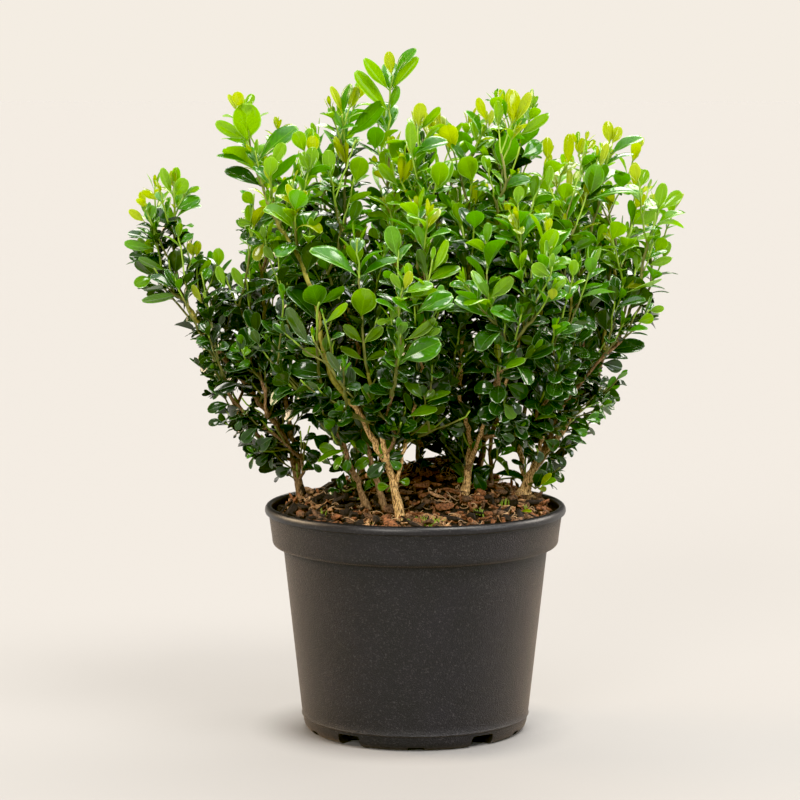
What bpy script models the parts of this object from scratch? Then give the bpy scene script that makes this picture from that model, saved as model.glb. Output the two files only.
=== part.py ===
"""A loose, many-stemmed boxwood shrub in a round plastic nursery pot.

Metres, +Z up. The origin is the centre of the pot's flat underside, -Y is the front.
The plant is a clump of bare-footed stems that rise from a mound of bark-topped
potting mix, fork low down, and carry closed, uneven masses of leaves.
"""

import math

import bpy
import bmesh
import numpy as np
from mathutils import Matrix, Vector, noise
from mathutils.bvhtree import BVHTree

for old in list(bpy.data.objects):
    bpy.data.objects.remove(old, do_unlink=True)

# ---------------------------------------------------------------- driving sizes
POT_SEGMENTS = 42
RIM_RADIUS = 0.0950          # outside of the rolled bead
RIM_INNER_RADIUS = 0.0906
POT_HEIGHT = 0.1435
COLLAR_TOP_RADIUS = 0.0925
COLLAR_FOOT_RADIUS = 0.0904
COLLAR_FOOT_Z = 0.1190
BODY_TOP_RADIUS = 0.0835
BODY_FOOT_RADIUS = 0.0718
FOOT_LINE_Z = 0.0098         # the fine raised line just above the foot
FOOT_RADIUS = 0.0672
WALL = 0.0019
BASE_PAD_RADIUS = 0.0280     # flat centre of the base, level with the foot ring
CHANNEL_HEIGHT = 0.0035      # the ring-shaped channel under the base

# angle from the front, width, height: slots through the foot, the same in each quarter
FOOT_SLOTS = (
    (0.0, 0.0100, 0.0022),
    (36.0, 0.0160, 0.0075),
    (64.0, 0.0075, 0.0038),
    (90.0, 0.0110, 0.0060),
)
BASE_HOLES, BASE_HOLE_RADIUS, BASE_HOLE_RING = 8, 0.0040, 0.0445

SOIL_EDGE_Z = 0.1370
SOIL_MOUND = 0.0200
MOUND_CENTRE = (0.010, 0.035)
MOUND_SPREAD = 0.040
GAP = 0.0004                 # between touching pieces

BARK = (0.36, 0.25, 0.14)
LEAF = (0.07, 0.20, 0.02)


def soil_top(x, y):
    """Height of the mounded potting mix, higher on the left than on the right."""
    away = (x - MOUND_CENTRE[0]) ** 2 + (y - MOUND_CENTRE[1]) ** 2
    return SOIL_EDGE_Z + SOIL_MOUND * math.exp(-away / (2 * MOUND_SPREAD**2)) - 0.018 * x


# ---------------------------------------------------------------- materials
def material(name, colour, roughness, metallic=0.0):
    made = bpy.data.materials.new(name)
    made.use_nodes = True
    shader = made.node_tree.nodes["Principled BSDF"]
    shader.inputs["Base Color"].default_value = (*colour, 1.0)
    shader.inputs["Roughness"].default_value = roughness
    shader.inputs["Metallic"].default_value = metallic
    made.diffuse_color = (*colour, 1.0)
    return made


def add_object(name, mesh, mat, place=(0, 0, 0), sharp_over=40):
    """Links a mesh made in world space as an object whose own origin is at place."""
    mesh.transform(Matrix.Translation(-Vector(place)))
    mesh.shade_smooth()
    mesh.set_sharp_from_angle(angle=math.radians(sharp_over))
    mesh.materials.append(mat)
    made = bpy.data.objects.new(name, mesh)
    made.location = place
    bpy.context.scene.collection.objects.link(made)
    return made


def mesh_from(name, points, faces):
    mesh = bpy.data.meshes.new(name)
    mesh.from_pydata([tuple(p) for p in points], [], [tuple(f) for f in faces])
    work = bmesh.new()
    work.from_mesh(mesh)
    bmesh.ops.recalc_face_normals(work, faces=work.faces)
    work.to_mesh(mesh)
    work.free()
    mesh.validate()
    return mesh


# ---------------------------------------------------------------- pot
def turned(name, profile, segments):
    """A closed solid turned about Z from a profile that starts and ends on the axis."""
    points, faces = [], []
    rings = []
    for r, z in profile:
        if r == 0:
            rings.append([len(points)])
            points.append((0, 0, z))
        else:
            rings.append(range(len(points), len(points) + segments))
            for i in range(segments):
                a = 2 * math.pi * i / segments
                points.append((r * math.sin(a), -r * math.cos(a), z))
    for low, high in zip(rings, rings[1:]):
        for i in range(segments):
            j = (i + 1) % segments
            if len(low) == 1:
                faces.append((low[0], high[j], high[i]))
            elif len(high) == 1:
                faces.append((low[i], low[j], high[0]))
            else:
                faces.append((low[i], low[j], high[j], high[i]))
    return mesh_from(name, points, faces)


def body_radius(z):
    """Outside radius of the tapered body at a height."""
    t = (z - FOOT_LINE_Z) / (COLLAR_FOOT_Z - 0.0020 - FOOT_LINE_Z)
    return BODY_FOOT_RADIUS + t * (BODY_TOP_RADIUS - BODY_FOOT_RADIUS)


FLOOR_Z = CHANNEL_HEIGHT + WALL
pot_profile = [
    (0, 0),
    (BASE_PAD_RADIUS, 0),
    (BASE_PAD_RADIUS + 0.003, CHANNEL_HEIGHT),
    (0.0570, CHANNEL_HEIGHT),
    (0.0600, 0),
    (FOOT_RADIUS - 0.0010, 0),
    (FOOT_RADIUS + 0.0022, 0.0010),
    (FOOT_RADIUS + 0.0038, 0.0040),
    (BODY_FOOT_RADIUS - 0.0004, FOOT_LINE_Z - 0.0006),
    (BODY_FOOT_RADIUS + 0.0004, FOOT_LINE_Z),
    (body_radius(FOOT_LINE_Z + 0.0008), FOOT_LINE_Z + 0.0008),
    (BODY_TOP_RADIUS, COLLAR_FOOT_Z - 0.0020),
    (COLLAR_FOOT_RADIUS - 0.0026, COLLAR_FOOT_Z - 0.0014),
    (COLLAR_FOOT_RADIUS - 0.0006, COLLAR_FOOT_Z + 0.0002),
    (COLLAR_FOOT_RADIUS, COLLAR_FOOT_Z + 0.0030),
    (COLLAR_TOP_RADIUS, POT_HEIGHT - 0.0058),
    (RIM_RADIUS - 0.0013, POT_HEIGHT - 0.0056),
    (RIM_RADIUS, POT_HEIGHT - 0.0036),
    (RIM_RADIUS - 0.0004, POT_HEIGHT - 0.0012),
    (RIM_RADIUS - 0.0020, POT_HEIGHT),
    (RIM_INNER_RADIUS + 0.0008, POT_HEIGHT - 0.0003),
    (RIM_INNER_RADIUS, POT_HEIGHT - 0.0020),
    (COLLAR_TOP_RADIUS - WALL, POT_HEIGHT - 0.0060),
    (COLLAR_FOOT_RADIUS - WALL, COLLAR_FOOT_Z + 0.0030),
    (BODY_TOP_RADIUS - WALL, COLLAR_FOOT_Z - 0.0002),
    (body_radius(0.0110) - WALL, 0.0110),
    (FOOT_RADIUS - 0.0004, FLOOR_Z),
    (0, FLOOR_Z),
]
pot = add_object(
    "pot", turned("pot", pot_profile, POT_SEGMENTS), material("pot_plastic", (0.035, 0.033, 0.033), 0.55)
)


def cutter(name, mesh):
    made = bpy.data.objects.new(name, mesh)
    bpy.context.scene.collection.objects.link(made)
    made.hide_render = True
    made.display_type = "WIRE"
    return made


def block(name, lows, highs, angle):
    """A box turned about Z, with its local -Y outward at that angle from the front."""
    work = bmesh.new()
    bmesh.ops.create_cube(work, size=1.0)
    for v in work.verts:
        v.co = Vector(
            (lows[k] if v.co[k] < 0 else highs[k]) for k in range(3)
        )
        v.co.rotate(Matrix.Rotation(math.radians(angle), 3, "Z"))
    mesh = bpy.data.meshes.new(name)
    work.to_mesh(mesh)
    work.free()
    return mesh


slot_angles = sorted(
    {
        (round(turn % 360, 3), width, height)
        for angle, width, height in FOOT_SLOTS
        for turn in (angle, -angle, 180 - angle, 180 + angle)
    }
)
cuts = []
for k, (angle, width, height) in enumerate(slot_angles):
    cuts.append(
        cutter(
            f"foot_slot_cutter_{k}",
            block(
                f"foot_slot_cutter_{k}",
                (-width / 2, -0.082, -0.004),
                (width / 2, -0.0585, height),
                angle,
            ),
        )
    )
for k in range(BASE_HOLES):
    a = 2 * math.pi * (k + 0.5) / BASE_HOLES
    work = bmesh.new()
    bmesh.ops.create_cone(
        work, cap_ends=True, segments=10, radius1=BASE_HOLE_RADIUS, radius2=BASE_HOLE_RADIUS, depth=0.012
    )
    bmesh.ops.translate(
        work, verts=work.verts, vec=(BASE_HOLE_RING * math.sin(a), -BASE_HOLE_RING * math.cos(a), 0.0045)
    )
    mesh = bpy.data.meshes.new(f"base_hole_cutter_{k}")
    work.to_mesh(mesh)
    work.free()
    cuts.append(cutter(f"base_hole_cutter_{k}", mesh))
for cut in cuts:
    change = pot.modifiers.new(cut.name, "BOOLEAN")
    change.operation = "DIFFERENCE"
    change.solver = "EXACT"
    change.object = cut

# ---------------------------------------------------------------- potting mix
SOIL_SEGMENTS = 24
WALL_GAP = 0.0008


def soil_mesh():
    side = [
        (FOOT_RADIUS - 0.0030, FLOOR_Z + GAP),
        (body_radius(0.0130) - WALL - WALL_GAP, 0.0130),
        (BODY_TOP_RADIUS - WALL - WALL_GAP, COLLAR_FOOT_Z - 0.0030),
        (BODY_TOP_RADIUS - WALL - WALL_GAP + 0.0006, COLLAR_FOOT_Z + 0.0010),
        (COLLAR_FOOT_RADIUS - WALL - WALL_GAP - 0.0004, COLLAR_FOOT_Z + 0.0042),
    ]
    top_radii = [COLLAR_TOP_RADIUS - WALL - WALL_GAP - 0.0006, 0.076, 0.062, 0.048, 0.034, 0.018]
    points, rings, faces = [(0, 0, FLOOR_Z + GAP)], [[0]], []
    for r, z in side:
        rings.append(range(len(points), len(points) + SOIL_SEGMENTS))
        for i in range(SOIL_SEGMENTS):
            a = 2 * math.pi * i / SOIL_SEGMENTS
            points.append((r * math.sin(a), -r * math.cos(a), z))
    for r in top_radii:
        rings.append(range(len(points), len(points) + SOIL_SEGMENTS))
        for i in range(SOIL_SEGMENTS):
            a = 2 * math.pi * i / SOIL_SEGMENTS
            x, y = r * math.sin(a), -r * math.cos(a)
            uneven = 0.0008 * noise.noise(Vector((x, y, 0)) * 60)
            points.append((x, y, min(soil_top(x, y) + uneven, soil_top(x, y))))
    rings.append([len(points)])
    points.append((0, 0, soil_top(0, 0)))
    for low, high in zip(rings, rings[1:]):
        for i in range(SOIL_SEGMENTS):
            j = (i + 1) % SOIL_SEGMENTS
            if len(low) == 1:
                faces.append((low[0], high[j], high[i]))
            elif len(high) == 1:
                faces.append((low[i], low[j], high[0]))
            else:
                faces.append((low[i], low[j], high[j], high[i]))
    return mesh_from("potting_mix", points, faces)


add_object("potting_mix", soil_mesh(), material("potting_bark", (0.10, 0.045, 0.022), 0.9))

# ---------------------------------------------------------------- masses of foliage
# name, centre, half sizes: width, depth, height
MASSES = [
    ("foliage_left_tip", (-0.154, 0.000, 0.322), (0.022, 0.026, 0.036)),
    ("foliage_left_outer", (-0.147, 0.000, 0.276), (0.027, 0.036, 0.026)),
    ("foliage_left_middle", (-0.112, 0.010, 0.254), (0.034, 0.060, 0.050)),
    ("foliage_left_low", (-0.100, 0.018, 0.202), (0.032, 0.050, 0.031)),
    ("foliage_upper_left_tip", (-0.104, -0.010, 0.376), (0.020, 0.028, 0.031)),
    ("foliage_upper_left", (-0.072, -0.012, 0.328), (0.038, 0.060, 0.052)),
    ("foliage_top_left", (-0.047, 0.015, 0.369), (0.028, 0.055, 0.041)),
    ("foliage_top_tip", (-0.015, 0.000, 0.398), (0.018, 0.026, 0.031)),
    ("foliage_top_middle", (0.006, 0.010, 0.350), (0.032, 0.070, 0.047)),
    ("foliage_top_right", (0.060, 0.000, 0.360), (0.036, 0.064, 0.046)),
    ("foliage_upper_right", (0.116, 0.010, 0.338), (0.034, 0.062, 0.048)),
    ("foliage_right_tip", (0.149, 0.000, 0.320), (0.018, 0.034, 0.030)),
    ("foliage_right_outer", (0.130, 0.005, 0.272), (0.028, 0.060, 0.036)),
    ("foliage_right_low", (0.093, 0.010, 0.212), (0.034, 0.058, 0.037)),
    ("foliage_front_left", (-0.052, -0.068, 0.266), (0.042, 0.058, 0.052)),
    ("foliage_front_middle", (0.005, -0.082, 0.284), (0.039, 0.058, 0.058)),
    ("foliage_front_right", (0.065, -0.068, 0.284), (0.043, 0.060, 0.060)),
    ("foliage_front_low", (-0.024, -0.048, 0.219), (0.046, 0.050, 0.030)),
    ("foliage_middle_low", (0.048, -0.026, 0.217), (0.042, 0.056, 0.032)),
    ("foliage_back_left", (-0.072, 0.088, 0.296), (0.046, 0.054, 0.066)),
    ("foliage_back_middle", (0.006, 0.100, 0.303), (0.047, 0.052, 0.075)),
    ("foliage_back_right", (0.082, 0.088, 0.294), (0.048, 0.054, 0.068)),
    ("foliage_left_foot", (-0.0950, 0.0300, 0.1690), (0.0125, 0.0220, 0.0150)),
    ("foliage_right_foot", (0.0950, 0.0340, 0.1670), (0.0135, 0.0230, 0.0155)),
    ("foliage_back_low", (0.006, 0.068, 0.214), (0.060, 0.048, 0.044)),
]
CENTRES = {name: Vector(c) for name, c, _ in MASSES}
HALVES = {name: Vector(h) for name, _, h in MASSES}
LOWEST_LEAVES_Z = 0.1520     # clear of the rim
MASS_LUMPS = 0.17            # unevenness of a mass's skin, as a share of its size
MASS_CORNERS = 88


def reach(name, way):
    """Distance from a mass's centre to its own uneven skin, along a unit direction."""
    half = HALVES[name]
    plain = 1.0 / math.sqrt(sum((way[k] / half[k]) ** 2 for k in range(3)))
    shift = Vector((CENTRES[name].x * 31.0, CENTRES[name].y * 17.0, CENTRES[name].z * 23.0))
    lump = noise.noise(way * 1.9 + shift) + 0.7 * noise.noise(way * 4.3 + shift)
    return plain * (1.0 + MASS_LUMPS * lump)


def walls(name):
    """Flat walls between this mass and each one that it would run into: (direction, distance)."""
    found = []
    for other in CENTRES:
        between = CENTRES[other] - CENTRES[name]
        if other == name or between.length < 1e-6:
            continue
        way = between.normalized()
        own = 1.0 / math.sqrt(sum((way[k] / HALVES[name][k]) ** 2 for k in range(3)))
        its = 1.0 / math.sqrt(sum((way[k] / HALVES[other][k]) ** 2 for k in range(3)))
        if between.length < 1.9 * (own + its):
            found.append((way, between.length * own / (own + its) - GAP))
    return found


WALLS = {name: walls(name) for name in CENTRES}


def skin(name, way):
    """Distance from the centre to the mass's surface once its neighbours have their share."""
    r = reach(name, way)
    for out, distance in WALLS[name]:
        facing = way.dot(out)
        if facing > 1e-4:
            r = min(r, distance / facing)
    down = way.z
    if down < -1e-4:
        r = min(r, (CENTRES[name].z - LOWEST_LEAVES_Z) / -down)
    return r


def spread_directions(count, turn):
    """Unit directions spread evenly over a sphere along a spiral."""
    golden = math.pi * (3 - math.sqrt(5))
    ways = []
    for k in range(count):
        z = 1 - (2 * k + 1) / count
        a = golden * k + turn
        ways.append(Vector((math.sqrt(1 - z * z) * math.cos(a), math.sqrt(1 - z * z) * math.sin(a), z)))
    return ways


def mass_mesh(name, turn):
    """An uneven closed skin: evenly spread corners, each set out to where the leaves end."""
    work = bmesh.new()
    for way in spread_directions(MASS_CORNERS, turn):
        work.verts.new(way)
    bmesh.ops.convex_hull(work, input=list(work.verts))
    for v in work.verts:
        way = v.co.normalized()
        v.co = CENTRES[name] + way * skin(name, way)
    bmesh.ops.recalc_face_normals(work, faces=work.faces)
    mesh = bpy.data.meshes.new(name)
    work.to_mesh(mesh)
    work.free()
    return mesh


FOLIAGE_TONES = {
    "tip": material("foliage_tip", (0.22, 0.42, 0.03), 0.45),
    "top": material("foliage_top", (0.12, 0.30, 0.03), 0.45),
    "low": material("foliage_low", (0.035, 0.13, 0.02), 0.45),
}


def tone_of(name):
    if name.endswith("tip"):
        return FOLIAGE_TONES["tip"]
    return FOLIAGE_TONES["low" if CENTRES[name].z < 0.28 else "top"]


MASS_TREES = []
for number, mass_name in enumerate(CENTRES):
    made = mass_mesh(mass_name, 0.7 * number)
    MASS_TREES.append(
        BVHTree.FromPolygons([v.co.copy() for v in made.vertices], [tuple(p.vertices) for p in made.polygons])
    )
    add_object(mass_name, made, tone_of(mass_name), CENTRES[mass_name], 180)


def touches_a_mass(point, margin):
    """True where a point is in a mass or nearer to its skin than the margin."""
    for tree in MASS_TREES:
        near, normal, _, distance = tree.find_nearest(point)
        if distance < margin or (distance < 0.08 and (point - near).dot(normal) < 0):
            return True
    return False

# ---------------------------------------------------------------- stems and boughs
STEM_SIDES = 8
# name, foot x, foot y, lean x, lean y, height, foot radius, tip radius, bow sideways
STEMS = [
    ("stem_left", -0.0720, 0.0340, -0.0420, -0.0040, 0.150, 0.0036, 0.0020, 0.004),
    ("stem_front", -0.0090, -0.0450, -0.0620, -0.0200, 0.170, 0.0036, 0.0018, -0.007),
    ("stem_front_left", -0.0300, -0.0200, -0.0480, -0.0050, 0.150, 0.0034, 0.0018, 0.004),
    ("stem_front_inner", -0.0185, -0.0225, -0.0160, -0.0200, 0.150, 0.0026, 0.0016, -0.004),
    ("stem_centre", 0.0305, -0.0020, 0.0060, -0.0300, 0.170, 0.0036, 0.0020, 0.003),
    ("stem_thin", 0.0490, 0.0300, 0.0080, -0.0100, 0.120, 0.0020, 0.0012, -0.002),
    ("stem_right", 0.0690, 0.0300, 0.0480, -0.0080, 0.150, 0.0050, 0.0022, -0.006),
    ("stem_back", 0.0040, 0.0250, -0.0040, 0.0200, 0.150, 0.0036, 0.0020, 0.003),
    ("stem_back_left", -0.0330, 0.0560, -0.0300, 0.0250, 0.140, 0.0030, 0.0018, 0.003),
    ("stem_back_right", 0.0400, 0.0620, 0.0300, 0.0250, 0.140, 0.0030, 0.0018, -0.003),
]
# name, its stem, height share where it leaves, direction, length, radius at its start
BOUGHS = [
    ("bough_left_inner", "stem_left", 0.070, (0.42, 0.30, 1.0), 0.16, 0.0021),
    ("bough_centre_right", "stem_centre", 0.050, (0.60, -0.30, 1.0), 0.10, 0.0019),
    ("bough_right_upright", "stem_right", 0.070, (-0.34, -0.25, 1.0), 0.10, 0.0025),
    ("bough_right_rear", "stem_right", 0.090, (0.10, 0.75, 1.0), 0.10, 0.0020),
    ("bough_back_left", "stem_back", 0.050, (-0.85, -0.10, 0.9), 0.10, 0.0020),
    ("bough_back_right", "stem_back", 0.060, (0.80, 0.05, 0.9), 0.10, 0.0020),
]


def stem_line(spec):
    """Centreline of a stem as a function from 0 at the foot to 1 at the tip."""
    _, x, y, lean_x, lean_y, height, foot_r, _, bow = spec
    z = max(
        soil_top(x + foot_r * 1.7 * math.cos(a), y + foot_r * 1.7 * math.sin(a)) for a in np.linspace(0, 6.2, 24)
    )
    foot = Vector((x, y, z + GAP))
    across = Vector((-lean_y, lean_x, 0)).normalized()
    out = Vector((lean_x, lean_y, 0))

    def at(t):
        return foot + out * (0.55 * t + 0.45 * t * t) + across * bow * math.sin(2.6 * t) + Vector((0, 0, height * t))

    return at


def tube(name, at, radius_at, start, end, sides, rings, flat_foot):
    """One tapering limb. Its foot is cut level if flat_foot, and its tip is square to the limb."""
    points, faces = [], []
    for i in range(rings + 1):
        s = i / rings
        t = start + (end - start) * (s**1.5 if flat_foot else s)
        centre = at(t)
        way = (at(min(t + 0.01, 1.2)) - at(t - 0.01)).normalized()
        if flat_foot and i < 2:
            way = Vector((0, 0, 1)) if i == 0 else (way + Vector((0, 0, 1))).normalized()
        side = way.cross(Vector((0, 1, 0))).normalized()
        other = way.cross(side).normalized()
        for k in range(sides):
            a = 2 * math.pi * k / sides
            r = radius_at(t)
            if flat_foot:
                r *= 1 + (0.10 * math.cos(2 * a + 1.0) + 0.08 * math.cos(3 * a)) * math.exp(-t * 14)
            points.append(centre + (side * math.cos(a) + other * math.sin(a)) * r)
    for i in range(rings):
        for k in range(sides):
            j = (k + 1) % sides
            faces.append((i * sides + k, i * sides + j, (i + 1) * sides + j, (i + 1) * sides + k))
    faces.append(tuple(reversed(range(sides))))
    faces.append(tuple(rings * sides + k for k in range(sides)))
    return mesh_from(name, points, faces)


def girth(at, radius_at, t, extra, sides=8):
    """Points round a limb at one place along it, set out by a little extra."""
    centre, way = at(t), (at(t + 0.01) - at(t - 0.01)).normalized()
    side = way.cross(Vector((0, 1, 0))).normalized()
    other = way.cross(side)
    turns = [2 * math.pi * k / sides for k in range(sides)]
    return [centre + (side * math.cos(a) + other * math.sin(a)) * (radius_at(t) + extra) for a in turns]


def free_length(at, radius_at, start, most, step=0.003, margin=0.0008):
    """How far along a limb its whole girth is still clear of every mass."""
    t = start
    while t < most:
        if any(touches_a_mass(p, margin) for p in girth(at, radius_at, t, 0.0)):
            return t - step
        t += step
    return most


bark = material("stem_bark", BARK, 0.8)
stem_parts = {}
for spec in STEMS:
    stem_name, foot_r, tip_r = spec[0], spec[6], spec[7]

    def radius_at(t, foot_r=foot_r, tip_r=tip_r):
        flare = 0.45 * math.exp(-t * 16)
        return foot_r + (tip_r - foot_r) * min(max(t, 0), 1) ** 0.8 + foot_r * flare

    at = stem_line(spec)
    end = free_length(at, radius_at, 0.03, 1.0)
    stem_parts[stem_name] = (at, radius_at, end)
    add_object(stem_name, tube(stem_name, at, radius_at, 0.0, end, STEM_SIDES, 8, True), bark, at(0.0), 60)


def clear_of_limbs(points, ignore, gap):
    for other, (line, radius, end) in stem_parts.items():
        if other == ignore:
            continue
        for t in np.linspace(0, end, 60):
            c = line(float(t))
            if any((p - c).length < radius(float(t)) + gap for p in points):
                return False
    return True


for bough_name, parent, share, direction, length, radius in BOUGHS:
    line, parent_radius, parent_end = stem_parts[parent]
    if share > parent_end - 0.02:
        share = max(0.04, parent_end - 0.05)
    root = line(share)
    way = Vector(direction).normalized()
    side = way.cross(Vector((0, 1, 0))).normalized()
    other = way.cross(side)
    start = 0.0
    while start < 0.03:
        ring = [
            root + way * start + (side * math.cos(a) + other * math.sin(a)) * radius * 1.02
            for a in np.linspace(0, 2 * math.pi, 17)
        ]
        if clear_of_limbs(ring, None, GAP):
            break
        start += 0.0003
    base = root + way * start
    bend = Vector((way.x, way.y, 0)) * -0.18

    def at(t, base=base, way=way, bend=bend, length=length):
        return base + way * length * t + bend * length * t * t

    def radius_at(t, radius=radius):
        return radius * (1 - 0.35 * min(max(t, 0), 1))

    end = free_length(at, radius_at, 0.0, 1.0)
    stem_parts[bough_name] = (at, radius_at, end)
    add_object(bough_name, tube(bough_name, at, radius_at, 0.0, end, 7, 4, False), bark, at(0.0), 60)
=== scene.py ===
import math

import bpy
import numpy as np
from mathutils import Matrix, Vector


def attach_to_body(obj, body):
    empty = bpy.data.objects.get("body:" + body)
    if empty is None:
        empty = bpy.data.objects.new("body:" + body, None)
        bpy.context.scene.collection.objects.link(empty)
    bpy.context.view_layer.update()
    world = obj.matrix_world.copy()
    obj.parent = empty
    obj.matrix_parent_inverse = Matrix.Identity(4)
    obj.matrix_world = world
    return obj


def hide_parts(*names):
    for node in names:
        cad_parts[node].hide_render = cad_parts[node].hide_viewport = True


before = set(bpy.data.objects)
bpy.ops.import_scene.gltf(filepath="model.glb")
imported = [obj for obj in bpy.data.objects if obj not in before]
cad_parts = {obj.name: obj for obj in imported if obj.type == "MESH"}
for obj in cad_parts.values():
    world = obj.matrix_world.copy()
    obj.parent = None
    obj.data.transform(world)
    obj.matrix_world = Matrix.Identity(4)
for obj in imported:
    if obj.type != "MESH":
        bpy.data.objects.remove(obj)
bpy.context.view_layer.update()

rng = np.random.default_rng(20)
UP = np.array([0.0, 0.0, 1.0])

# ------------------------------------------------------------------ sizes, in metres
POT_HEIGHT = 0.1435
RIM_RADIUS = 0.0950
SOIL_EDGE_Z = 0.1370
SOIL_MOUND = 0.0200
MOUND_CENTRE = (0.010, 0.035)
MOUND_SPREAD = 0.040

# the masses of the crown: centre, half sizes
MASSES = {
    "foliage_left_tip": ((-0.154, 0.000, 0.322), (0.022, 0.026, 0.036)),
    "foliage_left_outer": ((-0.147, 0.000, 0.276), (0.027, 0.036, 0.026)),
    "foliage_left_middle": ((-0.112, 0.010, 0.254), (0.034, 0.060, 0.050)),
    "foliage_left_low": ((-0.100, 0.018, 0.202), (0.032, 0.050, 0.031)),
    "foliage_upper_left_tip": ((-0.104, -0.010, 0.376), (0.020, 0.028, 0.031)),
    "foliage_upper_left": ((-0.072, -0.012, 0.328), (0.038, 0.060, 0.052)),
    "foliage_top_left": ((-0.047, 0.015, 0.369), (0.028, 0.055, 0.041)),
    "foliage_top_tip": ((-0.015, 0.000, 0.398), (0.018, 0.026, 0.031)),
    "foliage_top_middle": ((0.006, 0.010, 0.350), (0.032, 0.070, 0.047)),
    "foliage_top_right": ((0.060, 0.000, 0.360), (0.036, 0.064, 0.046)),
    "foliage_upper_right": ((0.116, 0.010, 0.338), (0.034, 0.062, 0.048)),
    "foliage_right_tip": ((0.149, 0.000, 0.320), (0.018, 0.034, 0.030)),
    "foliage_right_outer": ((0.130, 0.005, 0.272), (0.028, 0.060, 0.036)),
    "foliage_right_low": ((0.093, 0.010, 0.212), (0.034, 0.058, 0.037)),
    "foliage_front_left": ((-0.052, -0.068, 0.266), (0.042, 0.058, 0.052)),
    "foliage_front_middle": ((0.005, -0.082, 0.284), (0.039, 0.058, 0.058)),
    "foliage_front_right": ((0.065, -0.068, 0.284), (0.043, 0.060, 0.060)),
    "foliage_front_low": ((-0.024, -0.048, 0.219), (0.046, 0.050, 0.030)),
    "foliage_middle_low": ((0.048, -0.026, 0.217), (0.042, 0.056, 0.032)),
    "foliage_back_left": ((-0.072, 0.088, 0.296), (0.046, 0.054, 0.066)),
    "foliage_back_middle": ((0.006, 0.100, 0.303), (0.047, 0.052, 0.075)),
    "foliage_back_right": ((0.082, 0.088, 0.294), (0.048, 0.054, 0.068)),
    "foliage_left_foot": ((-0.0950, 0.0300, 0.1690), (0.0125, 0.0220, 0.0150)),
    "foliage_right_foot": ((0.0950, 0.0340, 0.1670), (0.0135, 0.0230, 0.0155)),
    "foliage_back_low": ((0.006, 0.068, 0.214), (0.060, 0.048, 0.044)),
}
MASS_C = np.array([m[0] for m in MASSES.values()])
MASS_H = np.array([m[1] for m in MASSES.values()])

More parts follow.
